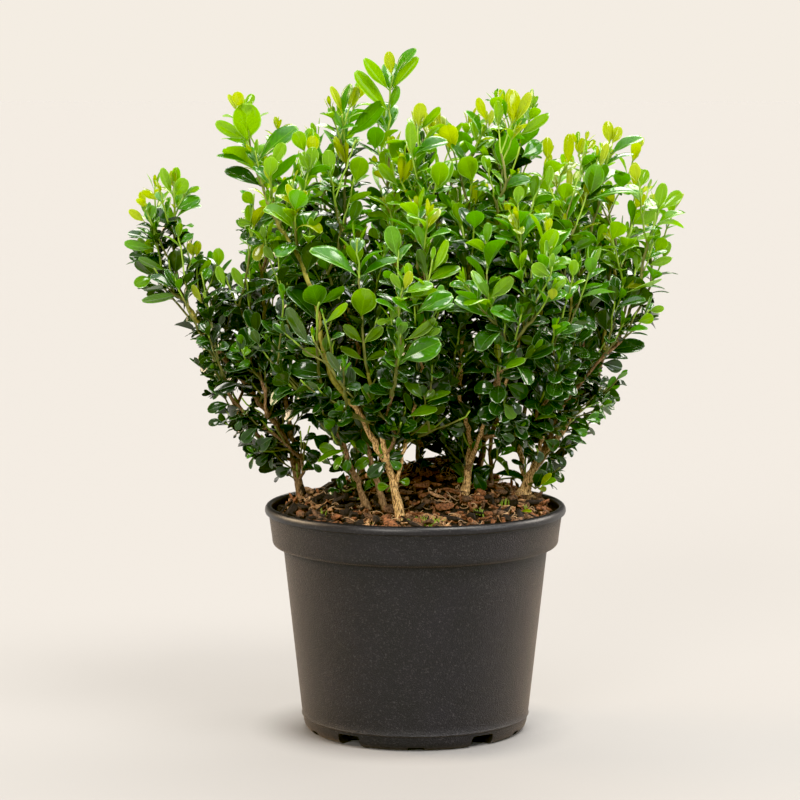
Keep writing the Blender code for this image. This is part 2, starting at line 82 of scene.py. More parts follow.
# the stems and their leading shoots: foot to tip, the parent's name (None for one from the
# ground), and the radius at the foot
LEADERS = [
    ("left", None, 0.0027, [(-0.0730, 0.0340, 0.1397), (-0.0790, 0.0340, 0.1690), (-0.0880, 0.0300, 0.1889), (-0.1030, 0.0220, 0.2098), (-0.1230, 0.0100, 0.2379), (-0.1380, 0.0040, 0.2606), (-0.1480, 0.0000, 0.2786), (-0.1512, -0.0020, 0.3050), (-0.1496, -0.0040, 0.3280), (-0.1500, -0.0040, 0.3470)]),
    ("front", None, 0.0031, [(-0.0092, -0.0450, 0.1387), (-0.0125, -0.0450, 0.1593), (-0.0162, -0.0460, 0.1712), (-0.0241, -0.0500, 0.1860), (-0.0356, -0.0580, 0.2098), (-0.0452, -0.0620, 0.2220), (-0.0518, -0.0660, 0.2340), (-0.0565, -0.0680, 0.2506), (-0.0595, -0.0660, 0.2704), (-0.0702, -0.0520, 0.3009), (-0.0789, -0.0440, 0.3138), (-0.0878, -0.0340, 0.3298), (-0.0963, -0.0220, 0.3488), (-0.1027, -0.0140, 0.3683), (-0.1075, -0.0100, 0.3860)]),
    ("front_left", None, 0.0027, [(-0.0290, -0.0215, 0.1410), (-0.0345, -0.0240, 0.1558), (-0.0404, -0.0300, 0.1702), (-0.0458, -0.0380, 0.1888), (-0.0522, -0.0520, 0.2104), (-0.0589, -0.0700, 0.2344), (-0.0597, -0.0820, 0.2610), (-0.0583, -0.0860, 0.2780)]),
    ("front_inner", None, 0.0021, [(-0.0190, -0.0225, 0.1427), (-0.0240, -0.0235, 0.1606), (-0.0290, -0.0215, 0.1773), (-0.0344, -0.0120, 0.2043), (-0.0395, 0.0000, 0.2408), (-0.0433, 0.0060, 0.2844), (-0.0445, 0.0060, 0.3283), (-0.0437, 0.0040, 0.3659), (-0.0461, 0.0020, 0.3880)]),
    ("centre", None, 0.0024, [(0.0306, -0.0010, 0.1470), (0.0330, -0.0025, 0.1637), (0.0326, -0.0040, 0.1748), (0.0344, -0.0080, 0.1842), (0.0272, -0.0260, 0.2147), (0.0276, -0.0360, 0.2314), (0.0297, -0.0480, 0.2572), (0.0320, -0.0520, 0.2827), (0.0289, -0.0500, 0.3130), (0.0253, -0.0460, 0.3298)]),
    ("thin", None, 0.0015, [(0.0491, 0.0305, 0.1490), (0.0485, 0.0280, 0.1769), (0.0542, 0.0200, 0.2030), (0.0614, 0.0120, 0.2333), (0.0661, 0.0060, 0.2718), (0.0631, 0.0000, 0.3099), (0.0561, 0.0000, 0.3411), (0.0448, 0.0000, 0.3753)]),
    ("right", None, 0.0037, [(0.0693, 0.0305, 0.1430), (0.0750, 0.0285, 0.1598), (0.0840, 0.0290, 0.1720), (0.0935, 0.0280, 0.1850), (0.0985, 0.0260, 0.1977), (0.0953, 0.0200, 0.2173), (0.0955, 0.0140, 0.2388), (0.0995, 0.0080, 0.2716), (0.1066, 0.0040, 0.3034), (0.1143, 0.0020, 0.3348), (0.1202, 0.0000, 0.3640)]),
    ("back", None, 0.0025, [(0.0037, 0.0245, 0.1550), (0.0021, 0.0280, 0.1784), (-0.0004, 0.0340, 0.2052), (-0.0062, 0.0360, 0.2436), (-0.0119, 0.0300, 0.2826), (-0.0170, 0.0200, 0.3213), (-0.0169, 0.0080, 0.3657), (-0.0163, 0.0040, 0.3907), (-0.0140, 0.0020, 0.4120)]),
    ("back_left", None, 0.0024, [(-0.0330, 0.0560, 0.1450), (-0.0385, 0.0590, 0.1750), (-0.0470, 0.0670, 0.2080), (-0.0580, 0.0790, 0.2450), (-0.0660, 0.0900, 0.2850), (-0.0700, 0.0980, 0.3300), (-0.0720, 0.1000, 0.3480)]),
    ("back_right", None, 0.0024, [(0.0400, 0.0620, 0.1470), (0.0455, 0.0645, 0.1750), (0.0560, 0.0700, 0.2080), (0.0680, 0.0790, 0.2450), (0.0760, 0.0880, 0.2850), (0.0800, 0.0950, 0.3300), (0.0810, 0.0970, 0.3460)]),
    ("left_inner", "left", 0.0017, [(-0.0752, 0.0340, 0.1510), (-0.0760, 0.0355, 0.1700), (-0.0815, 0.0360, 0.1920), (-0.0861, 0.0300, 0.2301), (-0.0938, 0.0200, 0.2490), (-0.0955, 0.0060, 0.2781), (-0.0982, 0.0000, 0.2993), (-0.0992, -0.0040, 0.3120)]),
    ("front_mid", "front", 0.0018, [(-0.0149, -0.0460, 0.1660), (-0.0198, -0.0560, 0.1887), (-0.0246, -0.0660, 0.2071), (-0.0275, -0.0740, 0.2257), (-0.0310, -0.0800, 0.2488), (-0.0327, -0.0820, 0.2730), (-0.0345, -0.0800, 0.2980), (-0.0354, -0.0780, 0.3150)]),
    ("centre_right", "centre", 0.0016, [(0.0328, -0.0030, 0.1640), (0.0394, -0.0120, 0.1854), (0.0465, -0.0240, 0.2089), (0.0503, -0.0360, 0.2382), (0.0519, -0.0400, 0.2756), (0.0556, -0.0340, 0.3120), (0.0530, -0.0160, 0.3535), (0.0613, -0.0060, 0.3790)]),
    ("right_outer", "right", 0.0019, [(0.0790, 0.0288, 0.1660), (0.0900, 0.0300, 0.1890), (0.1032, 0.0300, 0.2070), (0.1160, 0.0280, 0.2203), (0.1205, 0.0220, 0.2497), (0.1238, 0.0160, 0.2722), (0.1265, 0.0100, 0.2954), (0.1360, 0.0060, 0.3208), (0.1406, 0.0040, 0.3420)]),
    ("right_mid", "right", 0.0017, [(0.0712, 0.0300, 0.1500), (0.0680, 0.0380, 0.1700), (0.0690, 0.0420, 0.1830), (0.0723, 0.0400, 0.2110), (0.0775, 0.0320, 0.2440), (0.0826, 0.0240, 0.2830), (0.0864, 0.0160, 0.3215), (0.0909, 0.0100, 0.3482), (0.0958, 0.0080, 0.3575)]),
    ("front_right", "centre", 0.0012, [(0.0328, -0.0030, 0.1660), (0.0420, -0.0240, 0.1950), (0.0560, -0.0520, 0.2300), (0.0660, -0.0740, 0.2700), (0.0690, -0.0840, 0.3050)]),
    ("right_front", "right", 0.0013, [(0.0775, 0.0285, 0.1640), (0.0830, 0.0060, 0.1960), (0.0880, -0.0250, 0.2280), (0.0930, -0.0520, 0.2620), (0.0960, -0.0650, 0.3000)]),
    ("front_centre", "front", 0.0011, [(-0.0125, -0.0450, 0.1600), (-0.0060, -0.0560, 0.1900), (0.0010, -0.0720, 0.2250), (0.0050, -0.0880, 0.2650), (0.0060, -0.0920, 0.3080)]),
    ("back_mid", "back", 0.0015, [(0.0028, 0.0262, 0.1680), (0.0070, 0.0480, 0.2000), (0.0090, 0.0750, 0.2450), (0.0070, 0.0930, 0.2950), (0.0060, 0.1000, 0.3500)]),
    ("back_left_outer", "back_left", 0.0014, [(-0.0375, 0.0585, 0.1700), (-0.0560, 0.0640, 0.2050), (-0.0780, 0.0720, 0.2500), (-0.0920, 0.0790, 0.2950)]),
    ("back_right_outer", "back_right", 0.0014, [(0.0450, 0.0640, 0.1730), (0.0650, 0.0680, 0.2080), (0.0880, 0.0740, 0.2500), (0.1060, 0.0790, 0.2950)]),
    ("top_right", "centre_right", 0.0014, [(0.0519, -0.0400, 0.2756), (0.0640, -0.0300, 0.3100), (0.0770, -0.0160, 0.3450), (0.0830, -0.0080, 0.3640)]),
    ("top_middle", "back", 0.0016, [(-0.0035, 0.0350, 0.2250), (0.0080, 0.0200, 0.2700), (0.0130, 0.0060, 0.3200), (0.0060, -0.0020, 0.3560), (0.0030, 0.0000, 0.3720)]),
]

# ends of shoots along the crown's outline, and over its front
EDGE_TIPS = [
    (-0.175, -0.025, 0.328), (-0.169, -0.016, 0.334), (-0.162, 0.018, 0.345), (-0.137, 0.005, 0.306), (-0.120, -0.024, 0.302), (-0.117, -0.004, 0.288),
    (-0.100, -0.020, 0.390), (-0.063, 0.014, 0.375), (-0.062, -0.023, 0.368), (-0.053, -0.007, 0.394), (-0.041, 0.001, 0.394),
    (-0.074, -0.004, 0.352), (0.002, 0.005, 0.377), (0.015, 0.014, 0.382), (0.034, 0.027, 0.382), (0.040, -0.013, 0.388), (0.049, 0.009, 0.382),
    (0.073, 0.012, 0.392), (0.082, -0.012, 0.363), (0.094, -0.030, 0.364), (0.106, 0.028, 0.362), (0.115, -0.012, 0.362), (0.127, -0.011, 0.371),
    (0.141, 0.024, 0.366), (0.139, 0.005, 0.350), (0.155, -0.002, 0.337), (0.164, 0.016, 0.332), (0.146, -0.028, 0.309), (0.157, 0.012, 0.301),
    (0.153, -0.008, 0.293), (0.138, -0.025, 0.264), (0.154, 0.010, 0.264), (0.137, 0.026, 0.279), (0.138, -0.018, 0.248), (0.129, 0.008, 0.224),
    (0.112, -0.012, 0.206), (0.092, 0.015, 0.164), (0.084, 0.013, 0.158), (-0.131, -0.017, 0.206), (-0.122, 0.020, 0.210), (-0.127, 0.009, 0.266),
    (-0.139, 0.011, 0.275), (-0.173, 0.019, 0.300), (-0.170, -0.004, 0.272), (-0.159, 0.016, 0.259), (-0.103, 0.023, 0.333), (-0.105, -0.024, 0.320),
    (-0.099, 0.021, 0.165), (-0.088, -0.006, 0.163), (-0.104, -0.001, 0.184),
]
FRONT_TIPS = [
    (-0.046, -0.032, 0.370), (-0.029, -0.018, 0.370), (-0.024, 0.014, 0.356), (-0.014, -0.024, 0.369), (-0.075, -0.056, 0.350), (-0.117, -0.016, 0.291),
    (-0.094, 0.014, 0.289), (-0.008, -0.040, 0.361), (0.014, -0.046, 0.357), (0.037, -0.030, 0.344), (0.024, -0.024, 0.330), (0.059, -0.094, 0.329),
    (0.077, -0.098, 0.323), (0.083, -0.038, 0.359), (-0.004, -0.128, 0.297), (0.005, -0.132, 0.292), (0.049, -0.102, 0.252), (0.018, -0.116, 0.315),
    (0.093, -0.100, 0.297), (0.077, -0.116, 0.286), (0.108, -0.020, 0.274), (0.000, -0.046, 0.337), (0.007, -0.100, 0.331), (0.008, -0.126, 0.262),
    (-0.039, -0.114, 0.255), (-0.006, -0.126, 0.265), (0.015, -0.054, 0.225), (0.039, -0.052, 0.240), (0.070, -0.108, 0.252), (0.063, -0.064, 0.229),
    (0.036, -0.070, 0.211), (-0.068, -0.112, 0.264), (-0.078, -0.094, 0.244), (-0.099, -0.036, 0.257), (-0.087, -0.018, 0.211), (-0.052, -0.056, 0.197),
    (-0.034, -0.058, 0.191), (-0.009, -0.072, 0.199), (0.003, -0.080, 0.222), (-0.020, -0.074, 0.239), (0.083, -0.040, 0.214), (0.064, -0.060, 0.201),
    (0.111, 0.014, 0.239), (0.119, -0.040, 0.263), (-0.107, -0.042, 0.251), (-0.068, -0.110, 0.281), (-0.064, -0.062, 0.320), (-0.049, -0.048, 0.337),
    (-0.026, 0.072, 0.302), (0.041, -0.092, 0.316), (0.061, -0.116, 0.302), (0.113, -0.032, 0.312), (0.101, -0.036, 0.334), (-0.051, -0.098, 0.303),
    (0.014, -0.130, 0.283), (0.052, -0.114, 0.270), (0.082, -0.110, 0.264), (0.026, -0.116, 0.264), (-0.018, -0.118, 0.276), (-0.042, -0.086, 0.225),
    (-0.069, -0.092, 0.232), (-0.055, -0.062, 0.183), (0.052, -0.038, 0.186), (0.026, 0.062, 0.176),
]


# the camera: place, tilt below level, focal length in pixels of a frame 800 wide
EYE = np.array([-0.0097, -1.8, 0.42])
TILT = math.radians(6.68)
FOCAL = 2880.0
FORWARD = np.array([0.0, math.cos(TILT), -math.sin(TILT)])
ABOVE = np.array([0.0, math.sin(TILT), math.cos(TILT)])

# the crown's outline from the front, clockwise from the top, and the larger gaps that show sky
# (centre, width and height), all in the frame's pixels
OUTLINE = [
    (409, 46), (421, 56), (402, 84), (403, 106), (442, 104), (450, 134), (464, 128), (464, 106), (476, 95), (516, 84), (538, 92), (538, 110),
    (554, 117), (556, 144), (572, 133), (598, 132), (607, 117), (624, 123), (646, 136), (634, 160), (656, 173), (686, 190), (678, 216), (662, 236),
    (675, 258), (658, 275), (665, 284), (648, 298), (667, 308), (648, 334), (648, 350), (622, 360), (628, 378), (624, 398), (608, 410), (590, 436),
    (566, 458), (560, 488), (284, 488), (262, 468), (242, 459), (238, 438), (214, 422), (196, 411), (206, 392), (210, 376), (187, 362), (202, 345),
    (184, 334), (174, 322), (139, 305), (129, 282), (126, 254), (117, 238), (130, 224), (126, 206), (140, 186), (157, 163), (180, 164), (196, 184),
    (204, 206), (188, 226), (202, 242), (212, 248), (236, 246), (238, 222), (250, 212), (238, 192), (222, 174), (214, 150), (236, 148), (210, 122),
    (227, 112), (227, 91), (257, 91), (267, 116), (300, 122), (310, 110), (325, 104), (323, 80), (352, 83), (368, 98), (350, 71), (362, 56), (386, 49),
]
SKY_GAPS = [
    (372, 128, 22, 14), (395, 126, 11, 8), (253, 142, 8, 10), (290, 151, 12, 22), (443, 153, 12, 17), (538, 162, 17, 15), (287, 171, 14, 12),
    (581, 172, 10, 9), (383, 180, 12, 11), (460, 191, 13, 10), (259, 198, 8, 14), (624, 204, 20, 22), (613, 216, 14, 15), (559, 224, 10, 8),
    (648, 229, 12, 6), (641, 245, 8, 13), (326, 248, 8, 7), (235, 261, 17, 16), (268, 265, 17, 14), (192, 303, 8, 15), (274, 300, 16, 12),
    (182, 310, 12, 15), (631, 310, 18, 13), (245, 332, 8, 7), (236, 402, 24, 18), (587, 408, 9, 9), (529, 412, 12, 7), (309, 430, 18, 15),
    (408, 450, 18, 13), (432, 453, 11, 7), (315, 475, 34, 26), (206, 289, 7, 10), (294, 363, 6, 7), (262, 384, 6, 6), (261, 436, 10, 7),
]

# single leaves that stand out from the front: base, tip, seen width in pixels, the side that shows
# (u upper, d under), and the tone (0 yellow to 4 nearly black), which paints the light or shade on the leaf along with
# its own green
PLACED = [
    # the shoot in the middle of the front, and the bright one under it
    (355, 276, 309, 245, 17, "u", 2), (363, 275, 403, 255, 11, "u", 2), (360, 249, 357, 231, 6, "d", 0), (361, 246, 369, 240, 5, "u", 1),
    (357, 254, 358, 238, 15, "u", 2), (361, 316, 366, 289, 26, "d", 1), (363, 342, 343, 325, 11, "d", 1), (365, 342, 384, 327, 11, "d", 1),
    (363, 361, 340, 347, 8, "d", 1), (366, 361, 385, 352, 8, "d", 1), (366, 378, 350, 367, 6, "u", 1), (367, 378, 374, 366, 6, "u", 1),
    (319, 322, 288, 287, 17, "u", 3), (320, 307, 312, 286, 25, "d", 2), (321, 306, 345, 288, 9, "d", 2), (325, 323, 348, 304, 8, "d", 1),
    (309, 344, 287, 308, 15, "d", 3), (325, 352, 302, 352, 11, "d", 1), (326, 352, 328, 336, 10, "d", 2), (332, 376, 290, 367, 21, "u", 3),
    (342, 376, 327, 352, 9, "d", 3), (368, 403, 372, 389, 24, "u", 1), (346, 392, 328, 398, 8, "u", 2), (341, 418, 352, 412, 9, "u", 3),
    # right of it
    (428, 280, 461, 265, 14, "u", 1), (434, 270, 448, 240, 10, "d", 1), (430, 279, 447, 254, 11, "d", 1), (425, 279, 420, 251, 12, "d", 2),
    (418, 311, 453, 294, 20, "u", 2), (405, 340, 437, 320, 10, "d", 1), (402, 360, 441, 341, 25, "u", 2), (403, 293, 433, 284, 12, "u", 1),
    (404, 290, 411, 271, 10, "d", 0), (408, 297, 438, 292, 10, "d", 1), (402, 291, 391, 274, 9, "d", 1), (400, 361, 398, 331, 12, "d", 2),
    (390, 320, 377, 323, 7, "d", 1), (391, 319, 398, 307, 9, "d", 1), (490, 298, 513, 278, 15, "d", 1), (488, 297, 481, 282, 10, "d", 2),
    (519, 323, 491, 307, 15, "u", 2), (463, 334, 440, 336, 9, "u", 3), (464, 334, 472, 340, 8, "u", 3), (499, 361, 497, 344, 8, "d", 0),
    (503, 369, 525, 359, 9, "u", 1), (493, 370, 480, 350, 11, "u", 2), (493, 374, 480, 370, 6, "u", 2), (517, 336, 532, 341, 9, "d", 2),
    (463, 283, 475, 283, 6, "u", 2), (462, 284, 450, 284, 6, "u", 2), (397, 257, 390, 226, 17, "d", 2), (424, 250, 416, 224, 10, "d", 2),
    # low in front, and by the feet of the stems
    (422, 399, 406, 377, 14, "u", 1), (411, 413, 405, 393, 8, "u", 1), (408, 417, 437, 407, 11, "u", 1), (427, 402, 450, 391, 7, "u", 1),
    (425, 400, 434, 390, 8, "d", 1), (410, 432, 436, 427, 8, "d", 1), (404, 425, 413, 421, 10, "u", 1), (398, 430, 387, 423, 11, "u", 1),
    (338, 451, 319, 447, 12, "u", 1), (346, 450, 317, 460, 7, "u", 1), (372, 457, 355, 468, 11, "u", 1), (376, 459, 372, 471, 9, "u", 1),
    (377, 456, 389, 441, 10, "u", 1), (380, 459, 395, 452, 8, "u", 2), (366, 456, 358, 440, 11, "u", 2), (357, 450, 351, 436, 8, "u", 1),
    (344, 455, 333, 470, 8, "u", 1), (351, 455, 346, 470, 9, "u", 2), (389, 486, 376, 487, 9, "u", 1), (393, 484, 392, 494, 10, "u", 1),
    (401, 481, 412, 482, 8, "u", 1), (341, 491, 327, 492, 9, "u", 3), (342, 490, 340, 477, 8, "u", 3), (344, 491, 352, 496, 8, "u", 3),
    # the highest shoot and its neighbours
    (389, 90, 364, 59, 12, "d", 1), (390, 75, 388, 51, 12, "d", 0), (394, 75, 415, 48, 12, "u", 2), (392, 90, 418, 57, 11, "d", 1),
    (389, 111, 355, 72, 15, "d", 1), (392, 110, 399, 85, 9, "d", 2), (348, 137, 386, 103, 17, "d", 2), (342, 110, 330, 84, 8, "d", 0),
    (344, 113, 350, 83, 11, "u", 2), (418, 128, 421, 103, 14, "d", 0), (420, 129, 441, 108, 9, "d", 1), (415, 154, 447, 138, 14, "u", 2),
    (412, 157, 410, 122, 13, "d", 1), (346, 165, 334, 137, 9, "d", 0), (347, 165, 344, 139, 8, "d", 0), (356, 182, 361, 157, 20, "d", 1),
    (400, 183, 403, 153, 9, "d", 0), (398, 186, 379, 164, 11, "d", 1), (402, 184, 413, 160, 8, "d", 0), (438, 188, 441, 162, 19, "d", 1),
    (389, 186, 390, 160, 10, "d", 1), (355, 150, 352, 136, 14, "u", 2), (375, 150, 376, 127, 18, "d", 2),
    # the shoot at the upper left
    (247, 142, 247, 105, 29, "d", 1), (242, 109, 236, 92, 12, "d", 0), (246, 108, 253, 94, 9, "d", 1), (243, 139, 214, 122, 14, "d", 1),
    (258, 161, 296, 125, 20, "u", 2), (249, 164, 217, 154, 7, "u", 2), (260, 187, 225, 168, 16, "u", 3), (260, 186, 297, 157, 8, "d", 2),
    (269, 178, 272, 157, 15, "d", 1), (273, 165, 284, 143, 13, "d", 1), (253, 204, 244, 193, 12, "d", 1), (305, 152, 296, 132, 15, "d", 1),
    (312, 156, 313, 136, 13, "d", 0), (310, 172, 313, 147, 14, "d", 1), (309, 171, 302, 152, 12, "d", 1), (295, 210, 300, 191, 21, "d", 2),
    (344, 215, 330, 187, 16, "u", 3), (253, 224, 238, 222, 8, "d", 1), (256, 236, 240, 236, 9, "u", 3), (330, 176, 328, 150, 14, "d", 1),
    (264, 243, 255, 260, 12, "d", 5), (263, 244, 246, 240, 9, "u", 3), (275, 262, 264, 247, 9, "d", 1),
    # upper right
    (512, 124, 515, 89, 15, "d", 0), (514, 123, 531, 93, 11, "d", 0), (519, 135, 549, 116, 12, "d", 1), (487, 122, 477, 98, 9, "d", 0),
    (481, 137, 468, 109, 9, "u", 2), (488, 128, 493, 110, 6, "d", 0), (498, 128, 498, 101, 10, "d", 1), (502, 170, 510, 136, 25, "d", 2),
    (522, 157, 542, 142, 17, "u", 2), (500, 191, 531, 177, 13, "u", 2), (549, 163, 547, 139, 12, "d", 0), (569, 167, 568, 136, 12, "d", 0),
    (578, 155, 583, 138, 8, "d", 0), (587, 150, 595, 140, 7, "d", 0), (572, 221, 594, 213, 18, "u", 3), (590, 195, 597, 165, 20, "d", 2),
    (475, 228, 475, 211, 19, "d", 2), (472, 181, 465, 157, 22, "d", 1), (476, 205, 472, 183, 8, "d", 0), (563, 200, 567, 184, 16, "d", 1),
    (548, 190, 550, 166, 10, "d", 1), (568, 195, 570, 170, 8, "d", 0), (530, 200, 536, 176, 12, "d", 2), (517, 205, 520, 186, 11, "d", 1),
    (610, 144, 607, 121, 12, "d", 0), (612, 144, 620, 127, 11, "d", 0), (612, 154, 643, 136, 12, "u", 2), (599, 167, 608, 144, 9, "d", 0),
    (603, 167, 632, 151, 6, "u", 2), (606, 180, 601, 164, 14, "d", 2), (637, 183, 634, 164, 12, "d", 0), (642, 185, 647, 167, 11, "d", 1),
    (658, 210, 664, 183, 14, "d", 1), (663, 208, 681, 192, 13, "d", 1), (638, 207, 644, 193, 12, "d", 0), (633, 227, 658, 213, 13, "d", 1),
    (658, 223, 678, 211, 8, "u", 1), (633, 223, 630, 200, 8, "d", 2), (612, 240, 621, 222, 18, "d", 1), (655, 252, 665, 239, 13, "d", 1),
    (635, 235, 662, 227, 5, "u", 2), (589, 200, 641, 189, 6, "u", 2), (649, 197, 652, 206, 14, "d", 1),
    # lower right
    (648, 265, 672, 259, 9, "d", 1), (637, 272, 638, 249, 10, "d", 1), (627, 292, 662, 280, 4, "d", 1), (625, 288, 643, 280, 9, "d", 0),
    (617, 307, 645, 297, 10, "u", 3), (638, 322, 653, 317, 11, "d", 1), (649, 311, 664, 308, 8, "d", 1), (627, 332, 648, 327, 6, "u", 2),
    (608, 350, 646, 344, 17, "u", 3), (603, 363, 623, 368, 14, "u", 3), (607, 333, 607, 309, 24, "d", 3), (570, 308, 589, 287, 10, "u", 3),
    (568, 310, 543, 313, 6, "u", 2), (570, 310, 579, 312, 6, "u", 2), (558, 335, 583, 326, 9, "u", 3), (591, 275, 591, 257, 13, "d", 2),
    (552, 265, 571, 259, 9, "u", 1), (550, 277, 532, 265, 14, "d", 1), (552, 300, 553, 289, 10, "d", 0), (610, 272, 627, 253, 8, "u", 2),
    (598, 385, 612, 380, 12, "u", 3), (585, 420, 602, 416, 11, "u", 2), (575, 430, 588, 434, 9, "u", 2),
    # the spray at the left
    (172, 195, 161, 168, 11, "d", 1), (176, 188, 177, 167, 9, "d", 1), (175, 190, 171, 171, 8, "d", 0), (177, 198, 186, 179, 15, "d", 1),
    (188, 193, 199, 187, 6, "d", 1), (178, 210, 201, 197, 14, "u", 2), (178, 219, 202, 203, 8, "u", 2), (158, 200, 142, 191, 7, "d", 0),
    (145, 222, 129, 210, 9, "d", 0), (150, 222, 152, 205, 10, "d", 2), (153, 248, 124, 244, 11, "d", 2), (151, 239, 128, 232, 9, "u", 3),
    (146, 257, 129, 256, 10, "u", 3), (166, 270, 138, 259, 9, "d", 2), (174, 273, 177, 250, 18, "d", 3), (152, 278, 135, 284, 12, "d", 2),
    (172, 287, 151, 275, 9, "u", 3), (181, 293, 142, 302, 9, "d", 2), (196, 257, 199, 241, 8, "d", 0), (193, 257, 189, 243, 8, "d", 0),
    (219, 267, 218, 248, 12, "d", 1), (198, 275, 211, 260, 7, "d", 1), (225, 287, 217, 266, 10, "d", 1), (202, 303, 192, 285, 8, "d", 0),
    (202, 282, 210, 268, 10, "u", 2), (180, 243, 193, 234, 8, "u", 2), (144, 213, 144, 202, 6, "d", 1), (245, 290, 232, 268, 10, "d", 1),
    (249, 275, 245, 261, 13, "u", 4), (230, 404, 207, 410, 12, "u", 3), (222, 420, 208, 424, 8, "u", 3), (240, 352, 231, 345, 11, "u", 2),
    (243, 357, 249, 347, 8, "u", 1), (265, 415, 268, 396, 18, "u", 3), (265, 372, 262, 353, 12, "u", 3),
    # low at the left, painted dark for the shade there
    (272, 424, 294, 437, 19, "u", 3), (240, 383, 214, 391, 14, "u", 4), (240, 408, 226, 412, 13, "u", 4), (257, 427, 242, 442, 12, "u", 3),
    (269, 454, 256, 465, 10, "u", 3), (290, 468, 273, 475, 12, "u", 3), (260, 445, 250, 452, 9, "u", 3), (307, 460, 309, 473, 12, "u", 3),
    (313, 463, 321, 472, 7, "u", 3), (305, 452, 317, 461, 9, "u", 4), (312, 436, 330, 446, 17, "u", 3), (337, 430, 352, 442, 12, "u", 3),
    (323, 418, 334, 428, 12, "u", 2), (355, 440, 367, 452, 11, "u", 3), (285, 340, 300, 350, 14, "u", 3), (258, 350, 271, 345, 10, "u", 3),
    (237, 368, 250, 361, 8, "u", 2), (222, 352, 230, 342, 9, "u", 3), (250, 382, 262, 378, 9, "u", 4), (318, 396, 330, 405, 12, "u", 4),
    # low at the right
    (507, 384, 529, 396, 17, "u", 2), (504, 403, 515, 419, 12, "u", 1), (459, 401, 470, 418, 14, "u", 3), (514, 421, 530, 430, 17, "u", 3),
    (534, 424, 554, 429, 9, "u", 3), (545, 440, 561, 449, 13, "u", 2), (529, 452, 545, 460, 11, "u", 3), (568, 425, 589, 433, 9, "u", 2),
    (565, 437, 583, 441, 8, "u", 3), (486, 455, 511, 472, 7, "u", 1), (500, 456, 515, 447, 8, "u", 2), (495, 474, 527, 478, 8, "u", 3),
    (474, 473, 484, 492, 13, "u", 3), (463, 474, 473, 470, 9, "u", 3), (555, 455, 566, 465, 8, "u", 3), (482, 438, 473, 451, 10, "u", 2),
    (446, 443, 460, 450, 9, "u", 4), (438, 416, 448, 429, 13, "u", 3), (500, 434, 515, 440, 9, "u", 3), (486, 429, 497, 436, 8, "u", 3),
    (534, 420, 556, 414, 6, "u", 1), (567, 398, 584, 391, 5, "u", 1), (593, 415, 604, 417, 6, "u", 3), (571, 417, 587, 424, 6, "u", 2),
    (426, 447, 445, 451, 9, "u", 4), (446, 447, 459, 455, 9, "u", 4), (420, 436, 434, 441, 9, "u", 4), (440, 434, 428, 440, 8, "u", 4),
    (541, 487, 556, 478, 7, "u", 1), (540, 486, 551, 473, 6, "u", 0), (538, 489, 547, 489, 6, "u", 0),
    (471, 421, 481, 419, 8, "u", 3), (447, 428, 463, 434, 10, "u", 3), (455, 438, 452, 453, 8, "u", 3), (459, 437, 465, 449, 8, "u", 3),
    (482, 455, 484, 447, 5, "u", 2), (481, 421, 486, 435, 7, "u", 3), (511, 400, 521, 414, 9, "u", 3), (492, 460, 497, 448, 9, "d", 3),
    (482, 461, 471, 459, 8, "u", 4), (493, 467, 481, 468, 5, "u", 3), (464, 477, 457, 482, 5, "u", 2),
    # low at the left, between the stems
    (387, 461, 368, 477, 14, "u", 3), (388, 458, 404, 453, 9, "u", 3), (390, 460, 402, 469, 9, "u", 2), (356, 416, 336, 425, 11, "u", 2),
    (362, 432, 341, 436, 13, "u", 3), (344, 472, 340, 487, 11, "u", 3), (352, 497, 366, 505, 9, "u", 3), (273, 437, 255, 449, 14, "u", 3),
    (242, 420, 236, 430, 7, "u", 3), (254, 453, 247, 446, 5, "u", 2), (253, 454, 246, 458, 4, "u", 2), (254, 456, 250, 469, 5, "u", 3),
    (273, 456, 271, 469, 5, "u", 3), (318, 430, 315, 416, 10, "u", 4), (302, 441, 316, 434, 8, "u", 4), (304, 408, 318, 398, 12, "u", 4),
    (299, 446, 311, 450, 6, "u", 3), (290, 457, 308, 458, 8, "u", 4), (288, 462, 279, 452, 7, "u", 3),
]

# the part of the frame where dark leaves fill the space round the feet of the stems
FOOT_FILL = [(238, 372), (622, 372), (606, 410), (588, 436), (562, 464), (552, 480), (500, 486), (440, 470), (405, 450), (380, 470), (325, 480), (284, 482), (262, 464), (242, 440)]


def seen_at(points):
    """Where points fall in the frame, in pixels."""
    v = np.asarray(points, float) - EYE
    depth = v @ FORWARD
    return 400 + FOCAL * v[..., 0] / depth, 400 - FOCAL * (v @ ABOVE) / depth


def ray_at(px, py):
    return FORWARD + (px - 400) / FOCAL * np.array([1.0, 0, 0]) - (py - 400) / FOCAL * ABOVE


def at_pixel(px, py, y):
    """The point on the plane at depth y that falls on a pixel."""
    ray = ray_at(px, py)
    return EYE + ray * (y - EYE[1]) / ray[1]


def within(px, py, outline=None):
    """How far points lie inside the outline, in pixels; below 0 outside."""
    px, py = np.atleast_1d(px).astype(float), np.atleast_1d(py).astype(float)
    a = np.array(outline or OUTLINE, float)
    b = np.roll(a, -1, axis=0)
    side = np.zeros(len(px), bool)
    near = np.full(len(px), 1e9)
    for (ax, ay), (bx, by) in zip(a, b):
        crosses = (ay > py) != (by > py)
        at = ax + (py - ay) * (bx - ax) / (by - ay if by != ay else 1e-9)
        side ^= crosses & (px < at)
        ex, ey = bx - ax, by - ay
        t = np.clip(((px - ax) * ex + (py - ay) * ey) / (ex * ex + ey * ey + 1e-9), 0, 1)
        near = np.minimum(near, np.hypot(px - ax - t * ex, py - ay - t * ey))
    return np.where(side, near, -near)


def in_gap(px, py, grow=0.5):
    px, py = np.atleast_1d(px), np.atleast_1d(py)
    hit = np.zeros(len(px), bool)
    for cx, cy, w, h in SKY_GAPS:
        hit |= ((px - cx) / (w * grow)) ** 2 + ((py - cy) / (h * grow)) ** 2 < 1
    return hit


